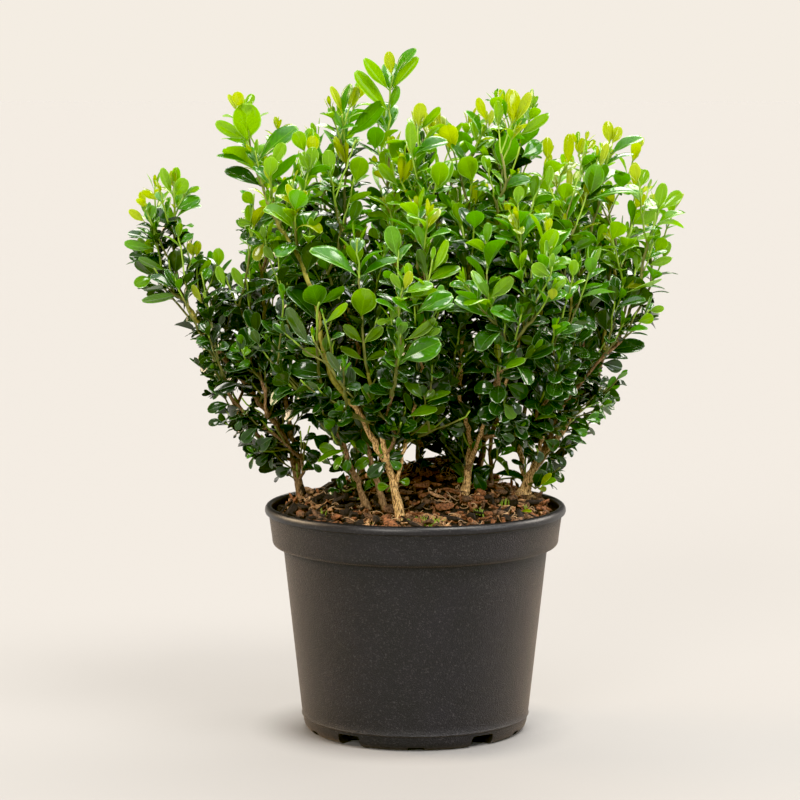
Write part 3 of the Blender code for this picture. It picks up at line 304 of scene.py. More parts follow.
def front_of_crown(px, py):
    """The depth at which the ray through a pixel meets the first mass, or the middle plane beside them."""
    ray = ray_at(px, py)
    o = (EYE - MASS_C) / MASS_H
    d = ray / MASS_H
    a, b, c = (d * d).sum(1), (o * d).sum(1), (o * o).sum(1) - 1
    disc = b * b - a * c
    ok = disc > 0
    if not ok.any():
        return 0.0
    t = (-b[ok] - np.sqrt(disc[ok])) / a[ok]
    return float((EYE + ray * t.min())[1])


def soil_top(x, y):
    away = (x - MOUND_CENTRE[0]) ** 2 + (y - MOUND_CENTRE[1]) ** 2
    heap = 0.0055 * np.exp(-((x - 0.016) ** 2) / (2 * 0.017**2) - ((y - 0.034) ** 2) / (2 * 0.020**2))
    return SOIL_EDGE_Z + SOIL_MOUND * np.exp(-away / (2 * MOUND_SPREAD**2)) - 0.018 * x + heap


def unit(v):
    v = np.asarray(v, float)
    return v / np.maximum(np.linalg.norm(v, axis=-1, keepdims=True), 1e-12)


def smoothstep(a, b, x):
    t = np.clip((x - a) / (b - a), 0, 1)
    return t * t * (3 - 2 * t)


# ------------------------------------------------------------------ meshes from arrays
def piece_from(name, verts, quads, slots, materials, tris=None, tri_slots=None, smooth=True):
    """One mesh object from arrays of corners, four-sided and three-sided faces, and their material indices."""
    verts = np.asarray(verts, np.float32)
    quads = np.asarray(quads, np.int32).reshape(-1, 4)
    tris = np.zeros((0, 3), np.int32) if tris is None else np.asarray(tris, np.int32).reshape(-1, 3)
    loops = np.concatenate([quads.reshape(-1), tris.reshape(-1)])
    totals = np.concatenate([np.full(len(quads), 4), np.full(len(tris), 3)]).astype(np.int32)
    starts = np.concatenate([[0], np.cumsum(totals)[:-1]]).astype(np.int32)
    mesh = bpy.data.meshes.new(name)
    mesh.vertices.add(len(verts))
    mesh.vertices.foreach_set("co", verts.reshape(-1))
    mesh.loops.add(len(loops))
    mesh.loops.foreach_set("vertex_index", loops.astype(np.int32))
    mesh.polygons.add(len(totals))
    mesh.polygons.foreach_set("loop_start", starts)
    mesh.polygons.foreach_set("loop_total", totals)
    index = np.zeros(len(totals), np.int32)
    if slots is not None:
        index[: len(quads)] = slots
    if tri_slots is not None:
        index[len(quads) :] = tri_slots
    for m in materials:
        mesh.materials.append(m)
    mesh.polygons.foreach_set("material_index", index)
    mesh.polygons.foreach_set("use_smooth", np.full(len(totals), smooth))
    mesh.update(calc_edges=True)
    obj = bpy.data.objects.new(name, mesh)
    bpy.context.scene.collection.objects.link(obj)
    return obj


# ------------------------------------------------------------------ materials
def nodes_of(name):
    mat = bpy.data.materials.new(name)
    mat.use_nodes = True
    tree = mat.node_tree
    tree.nodes.clear()
    return mat, tree


def add(tree, kind, **inputs):
    node = tree.nodes.new(kind)
    for key, value in inputs.items():
        if key.startswith("_"):
            setattr(node, key[1:], value)
        else:
            node.inputs[key.replace("0", " ")].default_value = value
    return node


def ramp(tree, source, stops):
    node = tree.nodes.new("ShaderNodeValToRGB")
    while len(node.color_ramp.elements) < len(stops):
        node.color_ramp.elements.new(0.5)
    for element, (at, colour) in zip(node.color_ramp.elements, stops):
        element.position = at
        element.color = (*colour, 1.0) if len(colour) == 3 else colour
    tree.links.new(source, node.inputs["Fac"])
    return node


def leaf_material(name, dark, light, glow, share=0.3, rough=0.30, under=(0.2, 0.3, 0.06), scale=70.0, veins=True):
    """A glossy leaf: a tone that wanders between two greens, a paler underside, and some light let through in a yellower one."""
    mat, tree = nodes_of(name)
    link = tree.links.new
    out = tree.nodes.new("ShaderNodeOutputMaterial")
    place = tree.nodes.new("ShaderNodeTexCoord")
    wander = add(tree, "ShaderNodeTexNoise", Scale=scale, Detail=2.0)
    link(place.outputs["Object"], wander.inputs["Vector"])
    tone = ramp(tree, wander.outputs["Fac"], [(0.36, dark), (0.64, light)])
    side = tree.nodes.new("ShaderNodeNewGeometry")
    both = add(tree, "ShaderNodeMix", _data_type="RGBA")
    link(side.outputs["Backfacing"], both.inputs[0])
    link(tone.outputs["Color"], both.inputs[6])
    both.inputs[7].default_value = (*under, 1.0)
    shader = tree.nodes.new("ShaderNodeBsdfPrincipled")
    shader.inputs["Roughness"].default_value = rough
    shader.inputs["Specular IOR Level"].default_value = 0.05
    shader.inputs["Coat Weight"].default_value = 1.0
    shader.inputs["Coat Roughness"].default_value = 0.12
    if not veins:
        link(both.outputs[2], shader.inputs["Base Color"])
    else:
        # side veins that run up from the midrib, with a soft unevenness between them
        uv = add(tree, "ShaderNodeUVMap", _uv_map="leaf")
        parts = tree.nodes.new("ShaderNodeSeparateXYZ")
        link(uv.outputs["UV"], parts.inputs[0])
        centred = add(tree, "ShaderNodeMath", _operation="SUBTRACT")
        link(parts.outputs["X"], centred.inputs[0])
        centred.inputs[1].default_value = 0.5
        across = add(tree, "ShaderNodeMath", _operation="ABSOLUTE")
        link(centred.outputs[0], across.inputs[0])
        lean = add(tree, "ShaderNodeMath", _operation="MULTIPLY_ADD")
        link(across.outputs[0], lean.inputs[0])
        lean.inputs[1].default_value = -26.0
        run = add(tree, "ShaderNodeMath", _operation="MULTIPLY")
        link(parts.outputs["Y"], run.inputs[0])
        run.inputs[1].default_value = 58.0
        link(run.outputs[0], lean.inputs[2])
        wave = add(tree, "ShaderNodeMath", _operation="SINE")
        link(lean.outputs[0], wave.inputs[0])
        ripple = add(tree, "ShaderNodeTexNoise", Scale=520.0, Detail=2.0)
        link(place.outputs["Object"], ripple.inputs["Vector"])
        height = add(tree, "ShaderNodeMath", _operation="MULTIPLY_ADD")
        link(wave.outputs[0], height.inputs[0])
        height.inputs[1].default_value = 0.16
        link(ripple.outputs["Fac"], height.inputs[2])
        # darker toward the stalk, paler toward the end, with the veins and the unevenness faint in it
        along = add(tree, "ShaderNodeMath", _operation="MULTIPLY_ADD")
        link(parts.outputs["Y"], along.inputs[0])
        along.inputs[1].default_value = 0.55
        link(height.outputs[0], along.inputs[2])
        shade = ramp(tree, along.outputs[0], [(0.45, (0.62, 0.64, 0.70)), (0.80, (0.98, 0.98, 0.95)), (1.0, (1.0, 1.0, 1.0))])
        deeper = add(tree, "ShaderNodeMix", _data_type="RGBA", _blend_type="MULTIPLY")
        deeper.inputs[0].default_value = 1.0
        link(both.outputs[2], deeper.inputs[6])
        link(shade.outputs["Color"], deeper.inputs[7])
        link(deeper.outputs[2], shader.inputs["Base Color"])
        bump = add(tree, "ShaderNodeBump", Strength=0.60, Distance=0.0008)
        link(height.outputs[0], bump.inputs["Height"])
        link(bump.outputs["Normal"], shader.inputs["Normal"])
    through = tree.nodes.new("ShaderNodeBsdfTranslucent")
    through.inputs["Color"].default_value = (*glow, 1.0)
    mix = tree.nodes.new("ShaderNodeMixShader")
    mix.inputs["Fac"].default_value = share
    link(shader.outputs[0], mix.inputs[1])
    link(through.outputs[0], mix.inputs[2])
    link(mix.outputs[0], out.inputs["Surface"])
    return mat


def plain_material(name, stops, rough=0.7, scale=200.0, bump_scale=600.0, bump=0.3, bump_depth=0.0005, stretch=(1, 1, 1), specular=0.4, detail=4.0):
    mat, tree = nodes_of(name)
    link = tree.links.new
    out = tree.nodes.new("ShaderNodeOutputMaterial")
    place = tree.nodes.new("ShaderNodeTexCoord")
    mapping = tree.nodes.new("ShaderNodeMapping")
    mapping.inputs["Scale"].default_value = stretch
    link(place.outputs["Object"], mapping.inputs["Vector"])
    wander = add(tree, "ShaderNodeTexNoise", Scale=scale, Detail=detail)
    link(mapping.outputs["Vector"], wander.inputs["Vector"])
    tone = ramp(tree, wander.outputs["Fac"], stops)
    shader = tree.nodes.new("ShaderNodeBsdfPrincipled")
    shader.inputs["Roughness"].default_value = rough
    shader.inputs["Specular IOR Level"].default_value = specular
    link(tone.outputs["Color"], shader.inputs["Base Color"])
    grain = add(tree, "ShaderNodeTexNoise", Scale=bump_scale, Detail=4.0)
    link(mapping.outputs["Vector"], grain.inputs["Vector"])
    relief = add(tree, "ShaderNodeBump", Strength=bump, Distance=bump_depth)
    link(grain.outputs["Fac"], relief.inputs["Height"])
    link(relief.outputs["Normal"], shader.inputs["Normal"])
    link(shader.outputs[0], out.inputs["Surface"])
    return mat


# ------------------------------------------------------------------ the skeleton of shoots
NODE_STEP = 0.0045
P, D, PARENT, SHOOT = [], [], [], []      # place, direction, parent node, shoot number
SHOOTS = []                               # first node, last node, kind, tip
NAMES = {}


def smooth_path(points, step):
    """A Catmull-Rom curve through the points, cut into even steps."""
    pts = np.array(points, float)
    ext = np.vstack([2 * pts[0] - pts[1], pts, 2 * pts[-1] - pts[-2]])
    out = []
    for i in range(1, len(ext) - 2):
        a, b, c, d = ext[i - 1], ext[i], ext[i + 1], ext[i + 2]
        t = np.linspace(0, 1, 24, endpoint=False)[:, None]
        out.append(
            0.5 * ((2 * b) + (c - a) * t + (2 * a - 5 * b + 4 * c - d) * t**2 + (3 * b - a - 3 * c + d) * t**3)
        )
    out = np.vstack([*out, pts[-1:]])
    return even_steps(out, step)


def even_steps(curve, step):
    run = np.concatenate([[0], np.cumsum(np.linalg.norm(np.diff(curve, axis=0), axis=1))])
    count = max(3, int(round(run[-1] / step)) + 1)
    want = np.linspace(0, run[-1], count)
    return np.stack([np.interp(want, run, curve[:, k]) for k in range(3)], axis=1)


def add_shoot(path, parent, kind, name=None):
    way = unit(np.gradient(path, axis=0))
    first = len(P)
    number = len(SHOOTS)
    for k in range(len(path)):
        P.append(path[k])
        D.append(way[k])
        PARENT.append(parent if k == 0 else len(P) - 2)
        SHOOT.append(number)
    SHOOTS.append((first, len(P) - 1, kind, path[-1]))
    if name:
        NAMES[name] = number
    return number


def nearest_on(shoot, point):
    first, last = SHOOTS[shoot][:2]
    pts = np.array(P[first : last + 1])
    return first + int(np.argmin(np.linalg.norm(pts - point, axis=1)))


for leader_name, leader_parent, _, leader_points in LEADERS:
    leader_path = smooth_path(leader_points, NODE_STEP)
    wobble = rng.normal(0, 0.0005, leader_path.shape)
    wobble[:3] = 0
    leader_path = leader_path + wobble * np.array([1, 1, 0.2])
    join = -1
    if leader_parent:
        join = nearest_on(NAMES[leader_parent], leader_path[0])
        leader_path[0] = P[join]
    add_shoot(leader_path, join, "leader", leader_name)


def inside(points, grow=1.0):
    """How deep each point is in the crown: 1 at a mass's centre, 0 at its skin, below 0 outside."""
    q = (points[:, None, :] - MASS_C[None]) / (MASS_H[None] * grow)
    return 1 - np.sqrt((q**2).sum(-1)).min(1)


# more ends of shoots, spread evenly through the masses and closer together where the leaves are small
def fill_tips(taken, tries=90000):
    which = rng.choice(len(MASS_C), tries, p=np.prod(MASS_H, 1) / np.prod(MASS_H, 1).sum())
    way = unit(rng.normal(size=(tries, 3)))
    at = MASS_C[which] + way * MASS_H[which] * (rng.uniform(0, 1, tries) ** (1 / 2.4))[:, None] * 0.97
    depth = inside(at)
    keep = at[:, 2] > 0.158
    at, depth = at[keep], depth[keep]
    taken = [np.array(t) for t in taken]
    bank = np.zeros((4000, 3))
    bank[: len(taken)] = taken
    count = len(taken)
    fresh = []
    for point, deep in zip(at, depth):
        apart = 0.0158 + 0.0048 * smoothstep(0.20, 0.30, point[2]) + 0.009 * min(max(deep, 0), 0.6)
        near = bank[:count] - point
        near[:, 2] *= 0.75
        if (np.einsum("ij,ij->i", near, near) > apart * apart).all():
            bank[count] = point
            count += 1
            fresh.append(point)
    return fresh


# the placed leaves hang on a leading shoot that passes their base, or on the end of a shoot of their own
own_nodes = np.array(P)
own_radius = np.zeros(len(own_nodes))
for number, (_, leader_parent, foot, _) in enumerate(LEADERS):
    first, last = SHOOTS[number][:2]
    along = np.arange(last + 1 - first) / (last - first)
    own_radius[first : last + 1] = foot * (1 - 0.15 * smoothstep(0.04, 0.14, along) - 0.58 * along**0.8)
node_px, node_py = seen_at(own_nodes)
HUNG = []
ends = []
for bx, by, tx, ty, wide, face, tone in PLACED:
    front = front_of_crown((bx + tx) / 2, (by + ty) / 2)
    apart = np.hypot(node_px - bx, node_py - by) + 100 * np.maximum(np.abs(own_nodes[:, 1] - front) - 0.06, 0)
    best = int(np.argmin(apart))
    if apart[best] < 5:
        wanted = at_pixel(bx, by, own_nodes[best, 1] - 0.9 * own_radius[best])
        away = wanted - own_nodes[best]
        far = np.linalg.norm(away)
        HUNG.append((own_nodes[best] + away * min(1.0, (own_radius[best] * 0.95 + 0.0004) / far), None))
        continue
    for group in ends:
        if math.hypot(group["x"] - bx, group["y"] - by) < 8:
            group["members"].append(len(HUNG))
            break
    else:
        group = {"x": bx, "y": by, "depth": front + 0.004, "members": [len(HUNG)]}
        ends.append(group)
    HUNG.append((at_pixel(bx, by, group["depth"]), group))
end_tips = []
for group in ends:
    member = [PLACED[k] for k in group["members"]]
    bx, by = np.mean([m[0] for m in member]), np.mean([m[1] for m in member])
    past = 10 if len(member) == 1 else 5
    lean = float(np.clip(np.mean([m[0] - m[2] for m in member]) * 0.12, -3, 3))
    if within(bx + lean, by - past)[0] < 6:
        past, lean = 1, 0
    group["past"] = past / 1600
    end_tips.append(at_pixel(bx + lean, by - past, group["depth"] + 0.001))
end_px = np.array(seen_at(np.array(end_tips))).T

fixed_tips = []
for t in EDGE_TIPS + FRONT_TIPS:
    fx, fy = seen_at(np.array(t))
    if np.hypot(end_px[:, 0] - fx, end_px[:, 1] - fy).min() > 9:
        fixed_tips.append(np.array(t))
leader_tips = [s[3] for s in SHOOTS]
foot_tips, foot_px = [], list(end_px)
for _ in range(2600):
    fx, fy = rng.uniform(238, 622), rng.uniform(372, 486)
    if within(fx, fy, FOOT_FILL)[0] < 2 or in_gap(fx, fy)[0]:
        continue
    if min(math.hypot(fx - ox, fy - oy) for ox, oy in foot_px) < 11.5:
        continue
    low = smoothstep(430, 480, fy)
    at = at_pixel(fx, fy, rng.uniform(-0.035, 0.060) * (1 - 0.4 * low) + 0.01 * low)
    if at[2] > soil_top(at[0], at[1]) + 0.013 and math.hypot(at[0], at[1]) < 0.14:
        foot_px.append((fx, fy))
        foot_tips.append(at)
fixed_tips += foot_tips
rear_px = []
for _ in range(3000):
    fx, fy = rng.uniform(196, 688), rng.uniform(196, 400)
    if within(fx, fy)[0] < 16 or in_gap(fx, fy, 0.9)[0]:
        continue
    if min([math.hypot(fx - ox, fy - oy) for ox, oy in rear_px] or [99]) < 17.0:
        continue
    at = at_pixel(fx, fy, rng.uniform(0.020, 0.085))
    if inside(at[None])[0] > -0.05:
        rear_px.append((fx, fy))
        fixed_tips.append(at)
more_tips = fill_tips(end_tips + fixed_tips + leader_tips)
more_px, more_py = seen_at(np.array(more_tips))
keep = (within(more_px, more_py) > 5) & ~in_gap(more_px, more_py)
more_tips = [t for t, k in zip(more_tips, keep) if k]
print("tips:", len(leader_tips), "leading,", len(end_tips), "for placed leaves,", len(fixed_tips), "placed,", len(more_tips), "more")


PLACED_XY = np.array([[(m[0] + m[2]) / 2, (m[1] + m[3]) / 2, m[2] - m[0], m[3] - m[1], m[4]] for m in PLACED], float)
PLACED_REACH = np.hypot(PLACED_XY[:, 2], PLACED_XY[:, 3])
PLACED_WAY = PLACED_XY[:, 2:4] / PLACED_REACH[:, None]
PLACED_DEPTH = np.array([base[1] for base, _ in HUNG])


def hides_placed(px, py, depth, grow=0.0, slack=0.002):
    """Whether points lie over a placed leaf and nearer the camera."""
    dx, dy = px[:, None] - PLACED_XY[None, :, 0], py[:, None] - PLACED_XY[None, :, 1]
    u = dx * PLACED_WAY[:, 0] + dy * PLACED_WAY[:, 1]
    v = -dx * PLACED_WAY[:, 1] + dy * PLACED_WAY[:, 0]
    over = (u / (PLACED_REACH / 2 + grow)) ** 2 + (v / (PLACED_XY[:, 4] / 2 + grow)) ** 2 < 1
    return (over & (depth[:, None] < PLACED_DEPTH + slack)).any(1)


# the lengths of stem that stay in sight: leader, lowest and highest level
CLEAR = {"front": (0.135, 0.262), "front_left": (0.140, 0.162), "centre": (0.145, 0.212), "left": (0.138, 0.170), "right": (0.140, 0.180), "thin": (0.145, 0.195)}
clear = []
for number, (leader_name, *_) in enumerate(LEADERS):
    if leader_name in CLEAR:
        first, last = SHOOTS[number][:2]
        fine = even_steps(np.array(P[first : last + 1]), 0.0012)
        low, high = CLEAR[leader_name]
        clear.append(fine[(fine[:, 2] > low) & (fine[:, 2] < high)])
clear = np.vstack(clear)
CLEAR_XY, CLEAR_DEPTH = np.stack(seen_at(clear), -1), clear[:, 1]


def hides_stem(px, py, depth, reach):
    apart = np.hypot(px[:, None] - CLEAR_XY[:, 0], py[:, None] - CLEAR_XY[:, 1])
    return ((apart < reach) & (depth[:, None] < CLEAR_DEPTH)).any(1)


def attach(tip, reach=0.15):
    """The best node for a shoot that ends at tip: well below it, so that the shoot runs upright and straight."""
    pts, ways = np.array(P), np.array(D)
    v = tip - pts
    d = np.linalg.norm(v, axis=1)
    lift = v[:, 2] / np.maximum(d, 1e-9)
    along = (v * ways).sum(1) / np.maximum(d, 1e-9)
    low = 1 - smoothstep(0.20, 0.28, tip[2])
    wanted = 0.075 - 0.045 * low
    ok = (d > 0.014) & (d < reach) & (TO_TIP > 0.022) & (pts[:, 2] > 0.149)
    cost = (
        d * (0.5 + (3.6 - 2.2 * low) * np.maximum(0, 0.90 - 0.25 * low - lift) + 1.5 * np.maximum(0, 0.55 - along))
        + 0.35 * np.abs(d - wanted) + 0.005 * CHILDREN
    )
    cost = np.where(ok, cost, 9.0)
    return int(np.argmin(cost)), float(cost.min())


def bezier(a, ta, b, tb, reach):
    t = np.linspace(0, 1, 28)[:, None]
    p1, p2 = a + ta * reach * 0.36, b - tb * reach * 0.36
    return (1 - t) ** 3 * a + 3 * (1 - t) ** 2 * t * p1 + 3 * (1 - t) * t * t * p2 + t**3 * b


TO_TIP = np.empty(len(P))
for first, last, _, _ in SHOOTS:
    TO_TIP[first : last + 1] = (last - np.arange(first, last + 1)) * NODE_STEP
CHILDREN = np.zeros(len(P))
centre_line = np.array([0.0, 0.01, 0.15])
todo = end_tips + fixed_tips + more_tips
order = np.argsort([np.linalg.norm((t - centre_line) * [1, 1, 0.9]) + rng.normal(0, 0.006) for t in todo])
for k in order:
    tip = todo[k]
    node, cost = attach(tip)
    if cost > 5:
        continue
    start, way = np.array(P[node]), np.array(D[node])
    v = tip - start
    d = np.linalg.norm(v)
    side = unit(v - (v @ way) * way)
    ta = unit(v / d * 0.85 + way * 0.15 + side * 0.20)
    tb = unit(v / d * 0.85 + UP * 0.36 + rng.normal(0, 0.06, 3))
    path = even_steps(bezier(start, ta, tip, tb, d), NODE_STEP)
    path[1:-1] += rng.normal(0, 0.00028, path[1:-1].shape)
    if k >= len(end_tips):
        path_px, path_py = seen_at(path)
        if (within(path_px, path_py) < -2).any() or hides_placed(path_px, path_py, path[:, 1], -1.5, -0.001).any():
            continue
        if hides_stem(path_px[4:], path_py[4:], path[4:, 1], 3.0).any():
            continue
    add_shoot(path, node, "ended" if k < len(end_tips) else "shoot")
    grown = len(P) - len(CHILDREN)
    CHILDREN = np.concatenate([CHILDREN, np.zeros(grown)])
    for j in (-2, -1, 0, 1, 2):
        if 0 <= node + j < len(CHILDREN) and SHOOT[node + j] == SHOOT[node]:
            CHILDREN[node + j] += 1.0 if j == 0 else 0.6
    CHILDREN[-grown:][: 2] += 3
    TO_TIP = np.concatenate([TO_TIP, (grown - 1 - np.arange(grown)) * NODE_STEP])

P_ARR, D_ARR, PARENT_ARR = np.array(P), np.array(D), np.array(PARENT)
print("shoots:", len(SHOOTS), "nodes:", len(P_ARR))

# thickness: what a limb carries decides how thick it is
GIRTH_POWER, TIP_RADIUS = 2.5, 0.00055
carried = np.zeros(len(P_ARR))
for first, last, _, _ in SHOOTS:
    carried[last] = TIP_RADIUS**GIRTH_POWER
for k in range(len(P_ARR) - 1, -1, -1):
    if PARENT_ARR[k] >= 0:
        carried[PARENT_ARR[k]] += carried[k]
RADIUS = carried ** (1 / GIRTH_POWER)
for number, (leader_name, leader_parent, foot, _) in enumerate(LEADERS):
    first, last = SHOOTS[number][:2]
    count = last + 1 - first
    t = np.arange(count) / (count - 1)
    if leader_parent is None:
        wanted = foot * (1 - 0.15 * smoothstep(0.04, 0.14, t) - 0.58 * t**0.8)
        RADIUS[first : last + 1] = np.minimum(0.35 * RADIUS[first : last + 1] + 0.65 * wanted, wanted * 1.15)
    else:
        wanted = foot * (1 - 0.62 * t**0.8)
        RADIUS[first : last + 1] = np.minimum(0.4 * RADIUS[first : last + 1] + 0.6 * wanted, wanted * 1.15)
for first, last, kind, _ in SHOOTS[len(LEADERS) :]:
    t = np.linspace(0, 1, last + 1 - first)
    RADIUS[first : last + 1] = np.minimum(RADIUS[first : last + 1], 0.00118 - 0.00055 * t)
AGE = np.zeros(len(P_ARR))               # distance to the furthest tip that a node carries
for k in range(len(P_ARR) - 1, -1, -1):
    parent = PARENT_ARR[k]
    if parent >= 0:
        AGE[parent] = max(AGE[parent], AGE[k] + np.linalg.norm(P_ARR[k] - P_ARR[parent]))


# ------------------------------------------------------------------ limbs
def cross_frames(path):
    way = unit(np.gradient(path, axis=0))
    side = np.empty_like(way)
    ref = np.array([0.31, -0.92, 0.22])
    for k in range(len(path)):
        ref = ref - (ref @ way[k]) * way[k]
        ref = ref / np.linalg.norm(ref)
        side[k] = ref
    return way, side, np.cross(way, side)


def hash_noise(x, y, seed):
    """Smooth 2-D noise from a few sine waves with seeded directions."""
    local = np.random.default_rng(seed)
    total = 0
    for _ in range(7):
        fx, fy, ph = local.normal(0, 1), local.normal(0, 1), local.uniform(0, 6.3)
        total = total + np.sin(x * fx + y * fy + ph)
    return total / 3.5


def tube_arrays(path, radius, sides, relief=0.0, seed=0, twist=0.0):
    way, a, b = cross_frames(path)
    turn = np.arange(sides) / sides * 2 * math.pi
    run = np.concatenate([[0], np.cumsum(np.linalg.norm(np.diff(path, axis=0), axis=1))])
    grid_t, grid_s = np.meshgrid(turn, run)
    r = np.repeat(radius[:, None], sides, axis=1)
    if relief:
        # ribs that run along the limb and wander, with finer flakes between them
        ridge = np.sin(grid_t * 7 + 1.2 * np.sin(grid_s * 260 + seed) + seed)
        ridge = np.sign(ridge) * np.abs(ridge) ** 0.6
        flake = hash_noise(grid_t * 3.5, grid_s * 900, seed + 5)
        knobs = hash_noise(np.cos(grid_t) * 1.5, grid_s * 320 + np.sin(grid_t), seed + 9)
        r = r * (1 + relief * (0.45 * ridge + 0.5 * flake) + relief * 0.9 * knobs)
    verts = path[:, None, :] + (
        a[:, None, :] * np.cos(grid_t + twist * grid_s)[..., None] + b[:, None, :] * np.sin(grid_t + twist * grid_s)[..., None]
    ) * r[..., None]
    rows = len(path)
    i, j = np.meshgrid(np.arange(rows - 1), np.arange(sides), indexing="ij")
    k = (j + 1) % sides
    quads = np.stack([i * sides + j, i * sides + k, (i + 1) * sides + k, (i + 1) * sides + j], axis=-1).reshape(-1, 4)
    row_of = i.reshape(-1)
    verts = verts.reshape(-1, 3)
    # the end is closed by a fan to a last point
    tip = path[-1] + way[-1] * radius[-1] * 0.8
    verts = np.vstack([verts, tip])
    last = (rows - 1) * sides
    jj = np.arange(sides)
    tris = np.stack([last + jj, last + (jj + 1) % sides, np.full(sides, len(verts) - 1)], axis=-1)
    return verts, quads, row_of, tris


class Bag:
    """Arrays of one joined piece."""

    def __init__(self):
        self.v, self.q, self.qs, self.t, self.ts, self.n = [], [], [], [], [], 0

    def put(self, v, q, qs=0, t=None, ts=0):
        self.v.append(v)
        self.q.append(np.asarray(q).reshape(-1, 4) + self.n)
        self.qs.append(np.broadcast_to(qs, (len(self.q[-1]),)))
        if t is not None and len(t):
            self.t.append(np.asarray(t).reshape(-1, 3) + self.n)
            self.ts.append(np.broadcast_to(ts, (len(self.t[-1]),)))
        self.n += len(v)

    def make(self, name, materials, smooth=True):
        quads = np.vstack(self.q) if self.q else np.zeros((0, 4), int)
        tris = np.vstack(self.t) if self.t else None
        faces = 2 * len(quads) + (0 if tris is None else len(tris))
        print(f"piece {name}: {faces} triangles")
        return piece_from(
            name, np.vstack(self.v), quads, np.concatenate(self.qs), materials, tris,
            np.concatenate(self.ts) if self.t else None, smooth,
        )


bark_tan = plain_material(
    "bark_tan", [(0.37, (0.08, 0.036, 0.013)), (0.46, (0.36, 0.21, 0.070)), (0.57, (0.72, 0.46, 0.175)), (0.70, (0.92, 0.69, 0.35))],
    rough=0.75, scale=1000.0, bump_scale=1500.0, bump=0.7, bump_depth=0.0006, stretch=(1.4, 1.4, 0.45),
)
bark_grey = plain_material(
    "bark_grey", [(0.36, (0.055, 0.026, 0.011)), (0.46, (0.17, 0.095, 0.038)), (0.60, (0.31, 0.19, 0.080)), (0.74, (0.47, 0.32, 0.16))],
    rough=0.8, scale=900.0, bump_scale=1500.0, bump=0.7, bump_depth=0.0006, stretch=(1.4, 1.4, 0.45),
)
twig_olive = plain_material(
    "twig_olive", [(0.3, (0.075, 0.090, 0.014)), (0.7, (0.19, 0.195, 0.036))],
    rough=0.6, scale=350.0, bump_scale=1200.0, bump=0.3, bump_depth=0.0004, stretch=(1, 1, 0.4),
)
twig_green = plain_material(
    "twig_green", [(0.3, (0.14, 0.25, 0.016)), (0.7, (0.29, 0.43, 0.036))],
    rough=0.5, scale=250.0, bump_scale=900.0, bump=0.2, bump_depth=0.0003, stretch=(1, 1, 0.4),
)

bark_gold = plain_material(
    "bark_gold", [(0.30, (0.10, 0.080, 0.010)), (0.42, (0.22, 0.190, 0.025)), (0.60, (0.34, 0.31, 0.040)), (0.76, (0.45, 0.40, 0.085))],
    rough=0.65, scale=900.0, bump_scale=1500.0, bump=0.5, bump_depth=0.0005, stretch=(1.4, 1.4, 0.40),
)

# these stems get the dark bark, partly as older bark and partly as painted shade for stems under and behind the crown
DARK_BARK_AND_SHADED = ("left", "left_inner", "front_left", "front_inner", "back", "back_left", "back_right", "right_outer", "centre_right", "thin")
bark, twigs = Bag(), Bag()
for number, (first, last, kind, _) in enumerate(SHOOTS):
    ids = np.arange(first, last + 1)
    path, radius, age = P_ARR[ids], RADIUS[ids], AGE[ids]
    if PARENT_ARR[first] >= 0:
        path = np.vstack([P_ARR[PARENT_ARR[first]], path[1:]])
    if kind == "leader":
        # the bare, barky length of a stem, then the rest as a twig
        name, parent_name, foot, _ = LEADERS[number]
        cut = int(np.searchsorted(-age, -0.085))
        cut = max(3, min(cut, len(ids) - 4))
        low = path[: cut + 1]
        if parent_name is None:
            base = low[0].copy()
            base[2] = soil_top(base[0], base[1]) - 0.006
            low = np.vstack([base, low])
            radius_low = np.concatenate([[radius[0] * 1.15], radius[: cut + 1]])
        else:
            radius_low = radius[: cut + 1]
        fine = even_steps(low, 0.0011)
        run = np.concatenate([[0], np.cumsum(np.linalg.norm(np.diff(low, axis=0), axis=1))])
        want = np.linspace(0, run[-1], len(fine))
        fine_radius = np.interp(want, run, radius_low)
        if parent_name is None:
            swell = 0.85 if name == "right" else 0.22
            fine_radius *= 0.92 + swell * np.exp(-((want - 0.004) ** 2) / (2 * 0.0050**2)) + 0.06 * np.sin(want * 420 + number)
        sides = 22 if parent_name is None else 14
        v, q, row, t = tube_arrays(fine, fine_radius, sides, relief=0.10, seed=number * 3 + 1)
        turns = (0.205 if name in ("front", "front_left", "front_mid") else 0.250) + 0.012 * math.sin(number * 2.3)
        bark.put(v, q, np.where(fine[row, 2] > turns, 2, int(name in DARK_BARK_AND_SHADED)), t, 0)
        path, radius, age = path[cut:], radius[cut:], age[cut:]
    sides = 7 if radius.max() > 0.0011 else 5
    fine = even_steps(path, 0.0030) if kind == "leader" else path
    if len(fine) != len(path):
        run = np.concatenate([[0], np.cumsum(np.linalg.norm(np.diff(path, axis=0), axis=1))])
        want = np.linspace(0, run[-1], len(fine))
        radius, age = np.interp(want, run, radius), np.interp(want, run, age)
    v, q, row, t = tube_arrays(fine, radius, sides)
    # twigs turn from green to olive with age; low down they turn olive sooner, which paints the shade under the crown
    olive = 0.036 + 0.012 * math.sin(number) - 0.030 * (1 - smoothstep(0.23, 0.29, fine[row, 2]))
    tone = np.where(age[row] > 0.105, 2, np.where(age[row] > olive, 1, 0))
    twigs.put(v, q, tone, t, 0)

knob = even_steps(np.array([(0.0728, 0.0190, 0.1345), (0.0737, 0.0180, 0.1400), (0.0742, 0.0172, 0.1452)]), 0.0009)
v, q, row, t = tube_arrays(knob, np.linspace(0.0034, 0.0027, len(knob)) * (1 + 0.06 * np.sin(np.arange(len(knob)) * 1.7)), 18, relief=0.10, seed=77)
bark.put(v, q, 1, t, 1)
pieces = {}
pieces["stems"] = bark.make("stems", [bark_tan, bark_grey, bark_gold])
pieces["twigs"] = twigs.make("twigs", [twig_green, twig_olive, bark_grey])

# ------------------------------------------------------------------ leaves
FIELDS = ("o", "y", "z", "L", "W", "p", "cup", "bend", "lift", "wave", "k", "shoot", "tone")
LEAF = {key: [] for key in FIELDS}


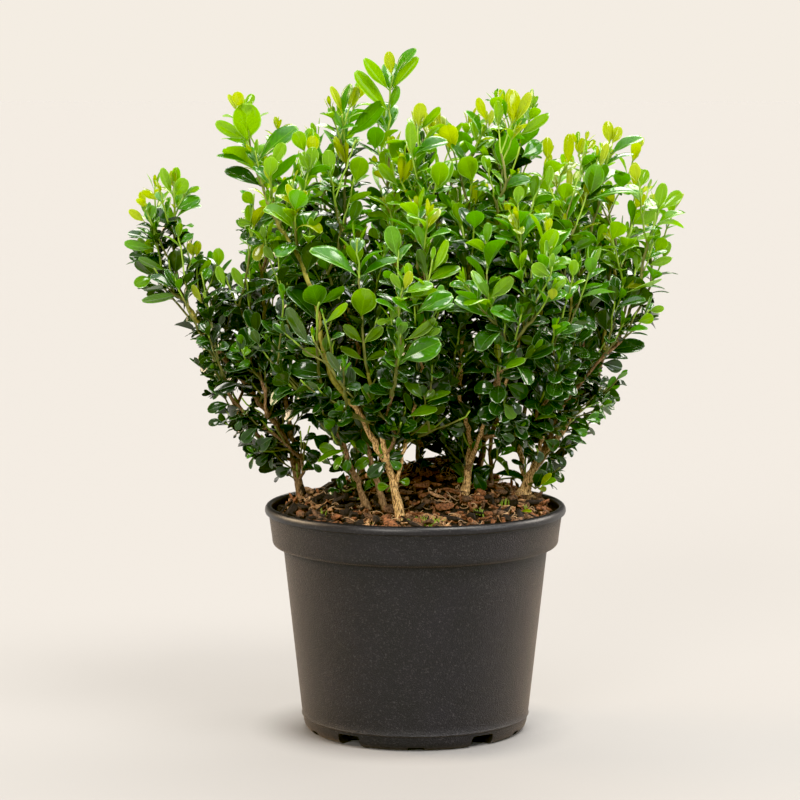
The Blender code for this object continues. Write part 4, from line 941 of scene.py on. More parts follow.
def put_leaf(o, y, z, length, width, p, cup, bend, lift, k, shoot, tone=-1):
    for key, value in zip(FIELDS, (o, y, z, length, width, p, cup, bend, lift, rng.uniform(-1, 1), k, shoot, tone)):
        LEAF[key].append(value)


LOW = np.array([-0.183 - 0.008, -0.148 - 0.008, 0.150])
HIGH = np.array([0.167 + 0.008, 0.150 + 0.008, 0.4298 + 0.010])

# the strong leading shoots: leaf length, distance between pairs, how far down the leaves reach
STRONG = {
    "front": (0.0260, 0.0160, 0.150), "back": (0.0275, 0.0165, 0.120), "front_mid": (0.0190, 0.0110, 0.125),
    "front_left": (0.0210, 0.0120, 0.115), "left": (0.0170, 0.0085, 0.150), "left_inner": (0.0165, 0.0085, 0.120),
    "centre": (0.0200, 0.0105, 0.140), "right_outer": (0.0175, 0.0085, 0.145),
}


def leafy(path, radius, kind, number):
    """Opposite leaf pairs down a shoot from its tip, each pair at right angles to the last."""
    run = np.concatenate([[0], np.cumsum(np.linalg.norm(np.diff(path, axis=0), axis=1))])
    total = run[-1]
    way_all = unit(np.gradient(path, axis=0))
    tip = path[-1]
    high = float(smoothstep(0.17, 0.32, tip[2]))
    vigour = rng.choice([0.82, 0.95, 1.08, 1.28], p=[0.25, 0.35, 0.28, 0.12]) * rng.uniform(0.94, 1.06)
    biggest = (0.0138 + 0.0056 * high) * vigour
    gap_most = (0.0060 + 0.0034 * high) * rng.uniform(0.85, 1.2) * (0.5 + 0.5 * vigour)
    longest = (0.060 + 0.060 * high) * rng.uniform(0.85, 1.2)
    if kind == "leader":
        biggest, gap_most, longest = STRONG.get(LEADERS[number][0], (0.0185, 0.0100, 0.130))
    elif tip[0] < -0.105:
        biggest, gap_most = biggest * 0.90, gap_most * 0.88
    phase = rng.uniform(0, math.pi)
    s, k = 0.0010, 0
    while s < min(longest, total - 0.003):
        at = total - s
        centre = np.array([np.interp(at, run, path[:, j]) for j in range(3)])
        way = unit(np.array([np.interp(at, run, way_all[:, j]) for j in range(3)]))
        thick = np.interp(at, run, radius)
        ref = unit(np.cross(way, [0.25, -0.93, 0.27]))
        ref2 = np.cross(way, ref)
        grow = [0.44, 0.70, 0.90, 1.0, 1.0, 0.97, 0.92, 0.86][min(k, 7)]
        for half in (0, 1):
            if k > 4 and rng.uniform() < 0.04 + 0.08 * (k > 8):
                continue
            turn = phase + half * math.pi + rng.normal(0, 0.12)
            r = ref * math.cos(turn) + ref2 * math.sin(turn)
            spread = [13, 25, 36, 45, 52, 57, 61][min(k, 6)] + rng.normal(0, 7 if k > 1 else 3.5)
            a = math.radians(spread)
            y = way * math.cos(a) + r * math.sin(a)
            z = -r * math.cos(a) + way * math.sin(a)
            if k > 2:
                y = unit(y + UP * rng.uniform(0.0, 0.15))
                z = z - (z @ y) * y
                up = UP - (UP @ y) * y
                share = rng.uniform(0.10, 0.6)
                out = centre * [1, 1, 0] + [0, -0.01, 0]
                out = unit(out) - (unit(out) @ y) * y
                z = unit(unit(z) * (1 - share) + up * share + out * (0.10 + 0.62 * (1 - high)) * rng.uniform(0.3, 1.3))
            side = np.cross(y, z)
            z = unit(z + side * rng.normal(0, 0.20))
            z = unit(z - (z @ y) * y)
            length = biggest * grow * rng.uniform(0.86, 1.13)
            ratio = ([0.38, 0.45, 0.51, 0.54, 0.56][min(k, 4)] + 0.11 * (1 - high)) * rng.uniform(0.88, 1.12)
            cup = rng.normal(0.30, 0.08) if k < 2 else rng.normal(0.24, 0.16)
            bend = rng.normal(0.10, 0.18) if k < 2 else rng.normal(-0.46, 0.28)
            o = centre + r * thick * 0.8
            end = o + y * length
            if (end < LOW).any() or (end > HIGH).any():
                continue
            if end[2] < soil_top(end[0], end[1]) + 0.003:
                continue
            put_leaf(o, y, z, length, length * ratio, rng.uniform(0.50, 0.66), cup, bend, rng.normal(0, 0.08), k, number)
        # a tuft in the axil of an older pair
        if k >= 4 and rng.uniform() < 0.34:
            turn = phase + rng.integers(0, 2) * math.pi
            r = ref * math.cos(turn) + ref2 * math.sin(turn)
            tuft(centre + r * thick, unit(way * 0.75 + r * 0.65), biggest, k, number)
        phase += math.pi / 2 + rng.normal(0, 0.06)
        s += min(0.0024 + 0.0024 * k * (1 + gap_most / 0.02), gap_most) * rng.uniform(0.92, 1.08)
        k += 1


def tuft(start, way, biggest, age, number):
    """A very short side shoot with two or three small pairs."""
    length = rng.uniform(0.005, 0.012)
    ref = unit(np.cross(way, [0.4, 0.2, 0.9]))
    ref2 = np.cross(way, ref)
    phase = rng.uniform(0, math.pi)
    pairs = rng.integers(2, 4)
    for k in range(pairs):
        centre = start + way * length * (1 - k / pairs)
        for half in (0, 1):
            turn = phase + k * math.pi / 2 + half * math.pi
            r = ref * math.cos(turn) + ref2 * math.sin(turn)
            a = math.radians([18, 34, 48][k] + rng.normal(0, 6))
            y = way * math.cos(a) + r * math.sin(a)
            z = unit(-r * math.cos(a) + way * math.sin(a))
            size = min(biggest, 0.020) * [0.36, 0.48, 0.56][k] * rng.uniform(0.85, 1.2)
            put_leaf(centre, y, z, size, size * rng.uniform(0.45, 0.6), rng.uniform(0.5, 0.62), 0.15, 0.1, 0, k + 1.5, number)


for number, (first, last, kind, _) in enumerate(SHOOTS):
    leafy(P_ARR[first : last + 1], RADIUS[first : last + 1], kind, number)
for key in LEAF:
    LEAF[key] = np.array(LEAF[key])


def corners_seen():
    """The middle, the tip and the two widest points of each leaf, in the frame."""
    o, y, z, L, W = LEAF["o"], LEAF["y"], LEAF["z"], LEAF["L"][:, None], LEAF["W"][:, None]
    x = np.cross(y, z)
    mid = o + y * L * 0.58
    return [seen_at(p) for p in (mid, o + y * L, mid + x * W / 2, mid - x * W / 2, o + y * L * 0.3)]


# a leaf that would stand out past the outline is smaller, or isn't there; one that would close a gap isn't there
for shrink in (0.78, 0.78):
    out = np.min([within(px, py) for px, py in corners_seen()], axis=0) < -3.0
    LEAF["L"] = np.where(out, LEAF["L"] * shrink, LEAF["L"])
    LEAF["W"] = np.where(out, LEAF["W"] * shrink, LEAF["W"])
seen = corners_seen()
keep = np.min([within(px, py) for px, py in seen], axis=0) > -3.5
for (px, py), grow in zip(seen, (0.52, 0.45, 0.45, 0.45, 0.52)):
    keep &= ~in_gap(px, py, grow)

# nothing hides a placed leaf: one that would is smaller, or isn't there
def hiding():
    mid_depth = LEAF["o"][:, 1] + LEAF["y"][:, 1] * LEAF["L"] * 0.5
    found = np.zeros(len(mid_depth), bool)
    for (px, py), grow in zip(corners_seen()[:4], (2.5, 0.5, 0.5, 0.5)):
        found |= hides_placed(px, py, mid_depth, grow)
    for (px, py), reach in zip(corners_seen(), (5.5, 2.5, 3.0, 3.0, 3.0)):
        found |= hides_stem(px, py, mid_depth, reach)
    return found


for shrink in (0.68, 0.68):
    small = np.where(hiding(), shrink, 1.0)
    LEAF["L"], LEAF["W"] = LEAF["L"] * small, LEAF["W"] * small
keep &= ~hiding()
for key in LEAF:
    LEAF[key] = list(LEAF[key][keep])

TO_EYE = -FORWARD
for (bx, by, tx, ty, wide, face, tone), (base, group) in zip(PLACED, HUNG):
    scale = (base - EYE) @ FORWARD / FOCAL
    reach = math.hypot(tx - bx, ty - by)
    long, tip_depth = reach, 0.0
    if wide > 0.60 * reach:
        long = wide / 0.60
        tip_depth = math.sqrt(long**2 - reach**2) * scale * (-1 if face == "d" else 1)
    end = at_pixel(tx, ty, base[1] + tip_depth)
    y = unit(end - base)
    face_on = unit(TO_EYE - (TO_EYE @ y) * y)
    other = np.cross(y, face_on)
    if other[2] < 0:
        other = -other
    roll = math.acos(float(np.clip(wide / (0.54 * long), 0.2, 1.0)))
    z = unit((face_on if face == "u" else -face_on) * math.cos(roll) + other * math.sin(roll))
    W = max(wide, 0.50 * long) * scale
    bend = rng.normal(-0.34, 0.14) if face == "u" else rng.normal(0.14, 0.12)
    put_leaf(
        base, y, z, long * scale, min(W, 0.60 * long * scale), rng.uniform(0.52, 0.62),
        rng.normal(0.28, 0.10) if face == "u" else rng.normal(0.12, 0.06), bend, -bend * 0.35, 2, 0, tone,
    )
fallen = np.array([0.0655, -0.0265, float(soil_top(0.0655, -0.0265)) + 0.0042])
put_leaf(fallen, unit([1.0, -0.15, 0.10]), unit([-0.05, -0.35, 0.95]), 0.0070, 0.0042, 0.55, 0.2, -0.3, 0.1, 0, 0, 0)
for key in LEAF:
    LEAF[key] = np.array(LEAF[key])

# which green a leaf has: youngest and highest yellow, oldest nearly black; the light score also paints light and shade,
# so the highest and outermost leaves are lighter and the lowest, innermost, rearmost and far-left ones darker, down to
# nearly black
count = len(LEAF["L"])
middle = LEAF["o"] + LEAF["y"] * LEAF["L"][:, None] * 0.5
depth = np.clip(inside(middle), 0, 1)
ELLIPSE = (middle - np.array([0, 0.01, 0.28])) / np.array([0.17, 0.15, 0.15])
outness = np.clip(np.sqrt((ELLIPSE**2).sum(1)), 0, 1.1)
light = smoothstep(0.235, 0.346, middle[:, 2]) * 0.84 + 0.34 * smoothstep(0.45, 1.0, outness)
# painted shade: leaves at the back, at the far left and deep inside the crown are made darker
light = light - 0.10 * smoothstep(0.02, 0.10, middle[:, 1])
light = light - 0.30 * smoothstep(0.115, 0.140, -middle[:, 0]) * (1 - smoothstep(0.315, 0.335, middle[:, 2]))
by_shoot = rng.normal(0, 0.42, len(SHOOTS))
light = light - (0.62 - 0.30 * smoothstep(0.24, 0.33, middle[:, 2])) * smoothstep(0.12, 0.52, depth)
score = 0.34 * LEAF["k"] + (1 - np.clip(light, 0, 1)) * 3.6 + by_shoot[LEAF["shoot"].astype(int)] + rng.normal(0, 0.38, count)
# painted shade: the outer leaves low in front are a plain dark green, and only the ones behind them nearly black
# painted shade: the leaves low at the left are dealt darker greens
low_left_shade = smoothstep(0.045, 0.072, -middle[:, 0]) * (1 - smoothstep(0.205, 0.240, middle[:, 2]))
score = score + 1.0 * low_left_shade
outer_low = (depth < 0.34) & (middle[:, 1] < 0.035) & (rng.uniform(size=count) < 0.72 - 0.50 * low_left_shade)
score = np.where(outer_low, np.minimum(score, 3.3), score)
score = np.where(middle[:, 2] < 0.315, np.maximum(score, 0.62 + 0.2 * rng.uniform(size=count)), score)
TONE = np.digitize(score, [0.55, 1.55, 2.55, 3.55])
young = (TONE == 0) & (LEAF["tone"] < 0) & (LEAF["L"] > 0.0090)
less = np.where(within(*seen_at(middle)) > 12, 0.78, 0.90)
LEAF["L"], LEAF["W"] = np.where(young, LEAF["L"] * less, LEAF["L"]), np.where(young, LEAF["W"] * less, LEAF["W"])
TONE = np.where(LEAF["tone"] >= 0, LEAF["tone"], TONE)
print("leaves:", count, "by tone", np.bincount(TONE), "small", int((LEAF["L"] < 0.0105).sum()))

FINE = (np.array([0.0, 0.07, 0.18, 0.32, 0.47, 0.63, 0.78, 0.90, 0.965, 1.0]), np.array([-1.0, -0.92, -0.50, 0.0, 0.0, 0.50, 0.92, 1.0]))
MIDDLING = (np.array([0.0, 0.10, 0.30, 0.55, 0.80, 0.95, 1.0]), np.array([-1.0, -0.87, 0.0, 0.0, 0.87, 1.0]))
PLAIN = (np.array([0.0, 0.30, 0.62, 0.87, 1.0]), np.array([-1.0, 0.0, 1.0]))
COSTS = (126, 60, 16)
# which grid a leaf has: 0 fine, 1 middling, 2 plain
GRID = np.where((LEAF["L"] > 0.0125) & (depth < 0.34) & (TONE < 4), 0, np.where((LEAF["L"] > 0.0085) & (depth < 0.55), 1, 2))
GRID = np.where(LEAF["tone"] >= 0, 0, GRID)


def leaf_width(t, p):
    """Half width along a leaf, as a share of the widest: a short stalk, a wedge, and a round end."""
    s = np.clip((t - 0.06) / 0.94, 0, 1)
    low = np.sin(np.clip(s / p, 0, 1) * math.pi / 2) ** 1.02
    up = np.sqrt(np.clip(1 - np.clip((s - p) / (1 - p), 0, 1) ** 2.3, 0, 1))
    return np.maximum(np.where(s < p, low, up), 0.075)


def leaf_arrays(pick, grid):
    rows_at, cols_at = grid
    n, rows, cols = len(pick), len(rows_at), len(cols_at)
    L, W = LEAF["L"][pick][:, None], LEAF["W"][pick][:, None]
    p = LEAF["p"][pick][:, None]
    t = np.broadcast_to(rows_at, (n, rows))
    half = leaf_width(t, p) * W / 2
    half[:, -1] = (W * 0.13)[:, 0]
    angle = LEAF["lift"][pick][:, None] + LEAF["bend"][pick][:, None] * (t - 0.15) * 1.6
    step = np.diff(rows_at)
    mid_angle = (angle[:, 1:] + angle[:, :-1]) / 2
    y = np.concatenate([np.zeros((n, 1)), np.cumsum(np.cos(mid_angle) * step, 1)], 1) * L
    z = np.concatenate([np.zeros((n, 1)), np.cumsum(np.sin(mid_angle) * step, 1)], 1) * L
    u = np.broadcast_to(cols_at, (n, rows, cols))
    x = u * half[..., None]
    cup = LEAF["cup"][pick][:, None, None]
    lift = cup * np.abs(u) ** 1.25 * half[..., None]
    lift = lift + LEAF["wave"][pick][:, None, None] * 0.10 * np.sin(t[..., None] * 6.0 + 1.0) * u * half[..., None]
    y_in = np.zeros((n, rows, cols))
    if cols > 4:
        m = cols // 2
        rib = np.minimum(0.050 * (1.15 - 0.85 * t) * W / 2, half * 0.45)
        x[:, :, m - 1], x[:, :, m] = -rib, rib
        swell = 0.15 + 0.05 * LEAF["wave"][pick][:, None, None]
        lift = lift + swell * np.sin(math.pi * np.abs(u) ** 0.85) * half[..., None]
        lift[:, :, m - 1 : m + 1] -= 0.022 * W[..., None]
        lift[:, :, (0, -1)] -= 0.022 * W[..., None]
        y_in[:, -1, m - 1 : m + 1] = -0.004 * L
    lift = lift * (1 - 0.65 * smoothstep(0.60, 1.0, t))[..., None]
    ny, nz = -np.sin(angle)[..., None], np.cos(angle)[..., None]
    Y = y[..., None] + lift * ny + y_in
    Z = z[..., None] + lift * nz
    ay, az = LEAF["y"][pick], LEAF["z"][pick]
    ax = np.cross(ay, az)
    world = (
        LEAF["o"][pick][:, None, None, :]
        + x[..., None] * ax[:, None, None, :]
        + Y[..., None] * ay[:, None, None, :]
        + Z[..., None] * az[:, None, None, :]
    )
    i, j = np.meshgrid(np.arange(rows - 1), np.arange(cols - 1), indexing="ij")
    one = np.stack([i * cols + j, i * cols + j + 1, (i + 1) * cols + j + 1, (i + 1) * cols + j], axis=-1).reshape(-1, 4)
    edge = np.zeros(i.shape, int)
    if cols > 4:
        edge[(j == 0) | (j == cols - 2)] = 2
        edge[j == cols // 2 - 1] = 1
        edge[i == rows - 2] = 2
    quads = (one[None] + (np.arange(n) * rows * cols)[:, None, None]).reshape(-1, 4)
    slots = np.tile(edge.reshape(-1), n)
    uv = np.stack([0.5 + 0.5 * u, np.broadcast_to(t[..., None], u.shape)], -1).reshape(-1, 2)
    return world.reshape(-1, 3), quads, slots, uv


def leaf_piece(label, chosen, materials):
    v, q, s, uv = [], [], [], []
    base = 0
    for number, grid in enumerate((FINE, MIDDLING, PLAIN)):
        pick = chosen[GRID[chosen] == number]
        if not len(pick):
            continue
        a, b, c, d = leaf_arrays(pick, grid)
        v.append(a)
        q.append(b + base)
        s.append(c)
        uv.append(d)
        base += len(a)
    v, q, s, uv = np.vstack(v), np.vstack(q), np.concatenate(s), np.vstack(uv)
    obj = piece_from(label, v, q, s, materials)
    layer = obj.data.uv_layers.new(name="leaf")
    layer.data.foreach_set("uv", uv[q.reshape(-1)].astype(np.float32).reshape(-1))
    print(f"piece {label}: {2 * len(q)} triangles, {len(chosen)} leaves")
    return obj


# painted light and shade: the tones are dealt by how lit a leaf is as well as by its age, so the lighter ones partly
# paint lit leaves and leaves_deep and leaves_shade partly paint shaded ones, with their undersides, ribs and rims
TONES = [
    ("leaves_tip", (0.162, 0.240, 0.0008), (0.250, 0.325, 0.0010), (0.44, 0.58, 0.002), 0.37, (0.26, 0.33, 0.002), (0.35, 0.42, 0.02), (0.46, 0.54, 0.07)),
    ("leaves_bright", (0.076, 0.222, 0.0010), (0.124, 0.308, 0.0012), (0.25, 0.52, 0.002), 0.34, (0.120, 0.262, 0.002), (0.21, 0.38, 0.02), (0.33, 0.54, 0.09)),
    ("leaves_green", (0.027, 0.128, 0.0014), (0.052, 0.205, 0.0016), (0.125, 0.44, 0.003), 0.29, (0.085, 0.195, 0.003), (0.14, 0.30, 0.03), (0.20, 0.38, 0.075)),
    ("leaves_deep", (0.0078, 0.038, 0.0022), (0.0150, 0.061, 0.0034), (0.034, 0.14, 0.003), 0.14, (0.047, 0.094, 0.006), (0.060, 0.140, 0.03), (0.095, 0.195, 0.055)),
    ("leaves_shade", (0.0030, 0.0115, 0.0022), (0.0060, 0.022, 0.0036), (0.010, 0.038, 0.003), 0.06, (0.018, 0.036, 0.006), (0.022, 0.052, 0.015), (0.036, 0.078, 0.026)),
    ("leaves_scorched", (0.42, 0.17, 0.010), (0.17, 0.32, 0.005), (0.40, 0.46, 0.010), 0.34, (0.24, 0.30, 0.010), (0.36, 0.34, 0.04), (0.40, 0.50, 0.10)),
]
for tone, (name, dark, pale, glow, share, under, rib_colour, rim_colour_and_highlight) in enumerate(TONES):
    pick = np.where(TONE == tone)[0]
    blade = leaf_material(name, dark, pale, glow, share, rough=(0.34, 0.31, 0.28, 0.25, 0.24, 0.34)[tone], under=under)
    rib = leaf_material(name + "_rib", tuple(c * 0.85 for c in rib_colour), rib_colour, glow, share, rough=0.5, under=rib_colour, veins=False)
    # the pale rim on each leaf's margin is partly the margin's own paler green and partly a painted highlight where the
    # curled edge catches light
    rim = leaf_material(name + "_rim", tuple(c * 0.85 for c in rim_colour_and_highlight), rim_colour_and_highlight, glow, share, rough=0.4, under=rim_colour_and_highlight, veins=False)
    faces = int(np.array(COSTS)[GRID[pick]].sum())
    parts = max(1, int(np.ceil(faces / 185000)))
    for part in range(parts):
        label = name if parts == 1 else f"{name}_{part + 1}"
        pieces[label] = leaf_piece(label, pick[part::parts], [blade, rib, rim])

# ------------------------------------------------------------------ potting mix
# the near-black soil between the chips is partly dark compost and partly painted shade in the gaps
soil_dark = plain_material(
    "soil_dark", [(0.30, (0.0025, 0.0014, 0.0011)), (0.55, (0.014, 0.007, 0.004)), (0.78, (0.13, 0.068, 0.033))],
    rough=0.95, scale=500.0, bump_scale=900.0, bump=1.0, bump_depth=0.0015,
)
RADIAL, ROUND = 90, 220
rr = np.linspace(0, 1, RADIAL) ** 0.8 * 0.0888
aa = np.arange(ROUND) / ROUND * 2 * math.pi
RR, AA = np.meshgrid(rr, aa, indexing="ij")
sx, sy = RR * np.cos(AA), RR * np.sin(AA)
sz = soil_top(sx, sy)
sz = sz + 0.0013 * hash_noise(sx * 420, sy * 420, 3) + 0.0008 * hash_noise(sx * 1100, sy * 1100, 4) + rng.normal(0, 0.00028, sx.shape)
sz[-6:] -= (np.arange(6) / 5)[:, None] * 0.0015
verts = np.stack([sx, sy, sz], -1).reshape(-1, 3)
i, j = np.meshgrid(np.arange(RADIAL - 1), np.arange(ROUND), indexing="ij")
k = (j + 1) % ROUND
quads = np.stack([i * ROUND + j, (i + 1) * ROUND + j, (i + 1) * ROUND + k, i * ROUND + k], -1).reshape(-1, 4)
pieces["potting_mix_top"] = piece_from("potting_mix_top", verts, quads, None, [soil_dark])

# bark chips: flat, split, uneven flakes, lying on each other
CHIP_TONES = [
    ("chip_red", [(0.34, (0.036, 0.011, 0.004)), (0.66, (0.38, 0.150, 0.058))]),
    ("chip_brown", [(0.34, (0.014, 0.006, 0.003)), (0.66, (0.22, 0.115, 0.058))]),
    ("chip_dark", [(0.34, (0.0045, 0.0025, 0.0022)), (0.66, (0.026, 0.014, 0.009))]),
    ("chip_tan", [(0.34, (0.24, 0.110, 0.042)), (0.66, (0.68, 0.39, 0.18))]),
]
chip_materials = [
    plain_material(n, stops, rough=0.85, scale=700.0, bump_scale=1400.0, bump=0.8, bump_depth=0.0008, stretch=(1, 1, 1)) for n, stops in CHIP_TONES
]
SIDES = 6


def chip_arrays(n, length, width, thick, place, turn, tilt_axis, tilt):
    """n uneven flakes at once: an upper and a lower outline with a bevelled edge."""
    around = np.arange(SIDES) / SIDES * 2 * math.pi
    wob = rng.uniform(0.62, 1.15, (n, SIDES))
    ox = np.cos(around) * wob * length[:, None] / 2
    oy = np.sin(around) * wob * width[:, None] / 2
    layers = []
    for level, shrink in ((-0.5, 0.82), (-0.1, 1.0), (0.28, 0.96), (0.5, 0.74)):
        z = (level + rng.normal(0, 0.10, (n, SIDES))) * thick[:, None]
        bow = 0.06 * length[:, None] * ((ox / length[:, None] * 2) ** 2)
        layers.append(np.stack([ox * shrink, oy * shrink, z + bow], -1))
    caps = [layers[0].mean(1, keepdims=True), layers[-1].mean(1, keepdims=True) + np.array([0, 0, 1]) * (thick * 0.10)[:, None, None]]
    local = np.concatenate([*layers, *caps], 1)
    c, s = np.cos(turn), np.sin(turn)
    rot = np.zeros((n, 3, 3))
    rot[:, 0, 0], rot[:, 0, 1], rot[:, 1, 0], rot[:, 1, 1], rot[:, 2, 2] = c, -s, s, c, 1
    ax = np.stack([np.cos(tilt_axis), np.sin(tilt_axis), np.zeros(n)], -1)
    K = np.zeros((n, 3, 3))
    K[:, 0, 1], K[:, 0, 2], K[:, 1, 0], K[:, 1, 2], K[:, 2, 0], K[:, 2, 1] = -ax[:, 2], ax[:, 1], ax[:, 2], -ax[:, 0], -ax[:, 1], ax[:, 0]
    R = np.eye(3) + np.sin(tilt)[:, None, None] * K + (1 - np.cos(tilt))[:, None, None] * (K @ K)
    local = np.einsum("nij,nvj->nvi", R @ rot, local) + place[:, None, :]
    per = 4 * SIDES + 2
    q, t = [], []
    for layer in range(3):
        for m in range(SIDES):
            m2 = (m + 1) % SIDES
            q.append((layer * SIDES + m, layer * SIDES + m2, (layer + 1) * SIDES + m2, (layer + 1) * SIDES + m))
    for m in range(SIDES):
        m2 = (m + 1) % SIDES
        t.append((m2, m, 4 * SIDES))
        t.append((3 * SIDES + m, 3 * SIDES + m2, 4 * SIDES + 1))
    off = (np.arange(n) * per)[:, None, None]
    return local.reshape(-1, 3), (np.array(q)[None] + off).reshape(-1, 4), (np.array(t)[None] + off).reshape(-1, 3), len(q), len(t)


def scatter(n, edge=0.0860):
    r = edge * np.sqrt(rng.uniform(0, 1, n))
    a = rng.uniform(0, 2 * math.pi, n)
    return r * np.cos(a), r * np.sin(a)


def slope_limit(x, y, reach, z):
    """Chips near the wall are moved inward, so that none of them pokes through it."""
    room = 0.0880 - np.hypot(x, y) - reach
    push = np.minimum(room, 0)
    r = np.hypot(x, y)
    f = (r + push) / np.maximum(r, 1e-9)
    return x * f, y * f


chips = Bag()
# the near-black chip tone takes a large share, partly dark bark and partly painted shade between the chips
for count, l0, l1, w0, w1, th0, th1, tilt_sd, lift, tones in (
    (900, 0.0024, 0.0058, 0.40, 0.85, 0.0006, 0.0018, 0.80, 0.0006, [0.28, 0.24, 0.43, 0.05]),
    (480, 0.0055, 0.0125, 0.16, 0.38, 0.0007, 0.0018, 0.62, 0.0024, [0.40, 0.24, 0.26, 0.10]),
    (150, 0.0085, 0.0160, 0.32, 0.62, 0.0016, 0.0034, 0.50, 0.0034, [0.42, 0.28, 0.25, 0.05]),
):
    x, y = scatter(count)
    length = rng.uniform(l0, l1, count)
    width = length * rng.uniform(w0, w1, count)
    thick = rng.uniform(th0, th1, count)
    x, y = slope_limit(x, y, length * 0.5, None)
    z = soil_top(x, y) + lift * rng.uniform(0.3, 1.3, count) + thick * 0.2
    v, q, t, nq, nt = chip_arrays(
        count, length, width, thick, np.stack([x, y, z], -1), rng.uniform(0, 2 * math.pi, count),
        rng.uniform(0, 2 * math.pi, count), np.abs(rng.normal(0, tilt_sd, count)),
    )
    tone = rng.choice(4, count, p=tones)
    # painted light and shade: chips at the back and on the right get paler tones, and chips on the left the near-black
    # one
    paler = ((y > 0.004) & (rng.uniform(size=count) < 0.42)) | ((x > 0.008) & (rng.uniform(size=count) < 0.30))
    tone = np.where(paler, rng.choice([0, 0, 0, 1, 3], count), tone)
    tone = np.where((x < -0.030) & (rng.uniform(size=count) < 0.45), 2, tone)
    chips.put(v, q, np.repeat(tone, nq), t, np.repeat(tone, nt))
pieces["bark_chips"] = chips.make("bark_chips", chip_materials, smooth=False)

# curly fibres and fine roots
fibres = Bag()
for _ in range(190):
    x, y = scatter(1, 0.080)
    n = 9
    heading = rng.uniform(0, 2 * math.pi)
    curl = rng.normal(0, 0.55)
    step = rng.uniform(0.0010, 0.0026)
    pts = []
    px, py = float(x[0]), float(y[0])
    h0 = rng.uniform(0.0012, 0.0042)
    for m in range(n):
        pts.append((px, py, float(soil_top(px, py)) + h0 + 0.0016 * math.sin(m * 0.8 + heading)))
        heading += curl + rng.normal(0, 0.25)
        px += step * math.cos(heading)
        py += step * math.sin(heading)
        if math.hypot(px, py) > 0.0865:
            break
    if len(pts) < 4:
        continue
    path = even_steps(np.array(pts), 0.0011)
    thick = rng.uniform(0.00016, 0.00042)
    v, q, row, t = tube_arrays(path, np.full(len(path), thick) * np.linspace(1, 0.6, len(path)), 4)
    fibres.put(v, q, 0 if rng.uniform() < 0.7 else 1, t, 0)
fibre_pale = plain_material("fibre_pale", [(0.3, (0.34, 0.19, 0.085)), (0.7, (0.74, 0.50, 0.27))], rough=0.8, scale=300.0)
pieces["bark_fibres"] = fibres.make("bark_fibres", [fibre_pale, chip_materials[3]])

# a few tufts of moss and seedlings
weeds = Bag()
for wx, wy, blades, tall in (
    (0.0060, -0.0610, 12, 0.0065), (0.0010, -0.0560, 9, 0.0050), (0.0125, -0.0560, 7, 0.0050), (-0.0300, -0.0600, 6, 0.0040), (0.0400, -0.0300, 6, 0.0055),
    (0.0560, -0.0080, 6, 0.0060), (-0.0600, -0.0300, 5, 0.0045), (0.0330, 0.0100, 5, 0.0050), (-0.0100, 0.0500, 6, 0.0050), (0.0700, -0.0100, 5, 0.0045),
):
    for _ in range(blades):
        px, py = wx + rng.normal(0, 0.0022), wy + rng.normal(0, 0.0022)
        foot = np.array([px, py, float(soil_top(px, py)) + 0.0010])
        lean = np.array([rng.normal(0, 0.5), rng.normal(0, 0.5), 1.0])
        high = tall * rng.uniform(0.6, 1.2)
        tip = foot + unit(lean) * high
        path = even_steps(np.array([foot, foot * 0.5 + tip * 0.5 + [0, 0, high * 0.12], tip + [0, 0, -high * 0.10]]), 0.0011)
        v, q, row, t = tube_arrays(path, np.linspace(0.00045, 0.00018, len(path)), 4)
        weeds.put(v, q, 0, t, 0)
pieces["moss_tufts"] = weeds.make("moss_tufts", [twig_green])

# ------------------------------------------------------------------ pot
SEGMENTS = 168


def body_radius(z):
    t = (z - 0.0098) / (0.1170 - 0.0098)
    return 0.0718 + t * (0.0835 - 0.0718)


def arc(cx, cz, r, a0, a1, n):
    return [(cx + r * math.cos(math.radians(a)), cz + r * math.sin(math.radians(a))) for a in np.linspace(a0, a1, n)]


outer = [(0, 0.0), (0.0270, 0.0), (0.0283, 0.0004), (0.0302, 0.0030), (0.0312, 0.0035), (0.0566, 0.0035), (0.0580, 0.0030), (0.0597, 0.0004), (0.0604, 0.0)]
outer += [(0.0655, 0.0), (0.0664, 0.0002), (0.0683, 0.0011), (0.0700, 0.0029), (0.0709, 0.0055), (0.0712, 0.0084), (0.0714, 0.0092)]
outer += [(0.0719, 0.00955), (0.07225, 0.0099), (0.0722, 0.0102), (body_radius(0.0109) - 0.0001, 0.0109)]
outer += [(body_radius(z), z) for z in np.linspace(0.0150, 0.1150, 14)]
outer += [(body_radius(0.1162), 0.1162), (0.08375, 0.1169), (0.0846, 0.11735), (0.0872, 0.1178), (0.0891, 0.1184), (0.0899, 0.1192), (0.09035, 0.1206), (0.0905, 0.1225)]
outer += [(0.0905 + (0.0925 - 0.0905) * (z - 0.1225) / (0.1374 - 0.1225), z) for z in (0.1260, 0.1300, 0.1340, 0.1366)]
outer += [(0.09255, 0.1376), (0.0931, 0.13795), (0.0939, 0.1381), (0.0946, 0.1385), (0.09495, 0.1394), (0.0950, 0.1403), (0.0948, 0.1415), (0.0942, 0.1426), (0.0933, 0.1433), (0.0922, 0.1435)]
outer += [(0.0914, 0.1433), (0.0909, 0.1427), (0.09065, 0.1416), (0.0906, 0.1396), (0.0903, 0.1380), (0.0895, 0.1300), (0.0886, 0.1215), (0.0880, 0.1200), (0.0816, 0.1186), (0.0815, 0.1170)]
outer += [(body_radius(z) - 0.0020, z) for z in (0.1100, 0.08, 0.05, 0.02, 0.0110)]
outer += [(0.0668, 0.0054), (0, 0.0054)]


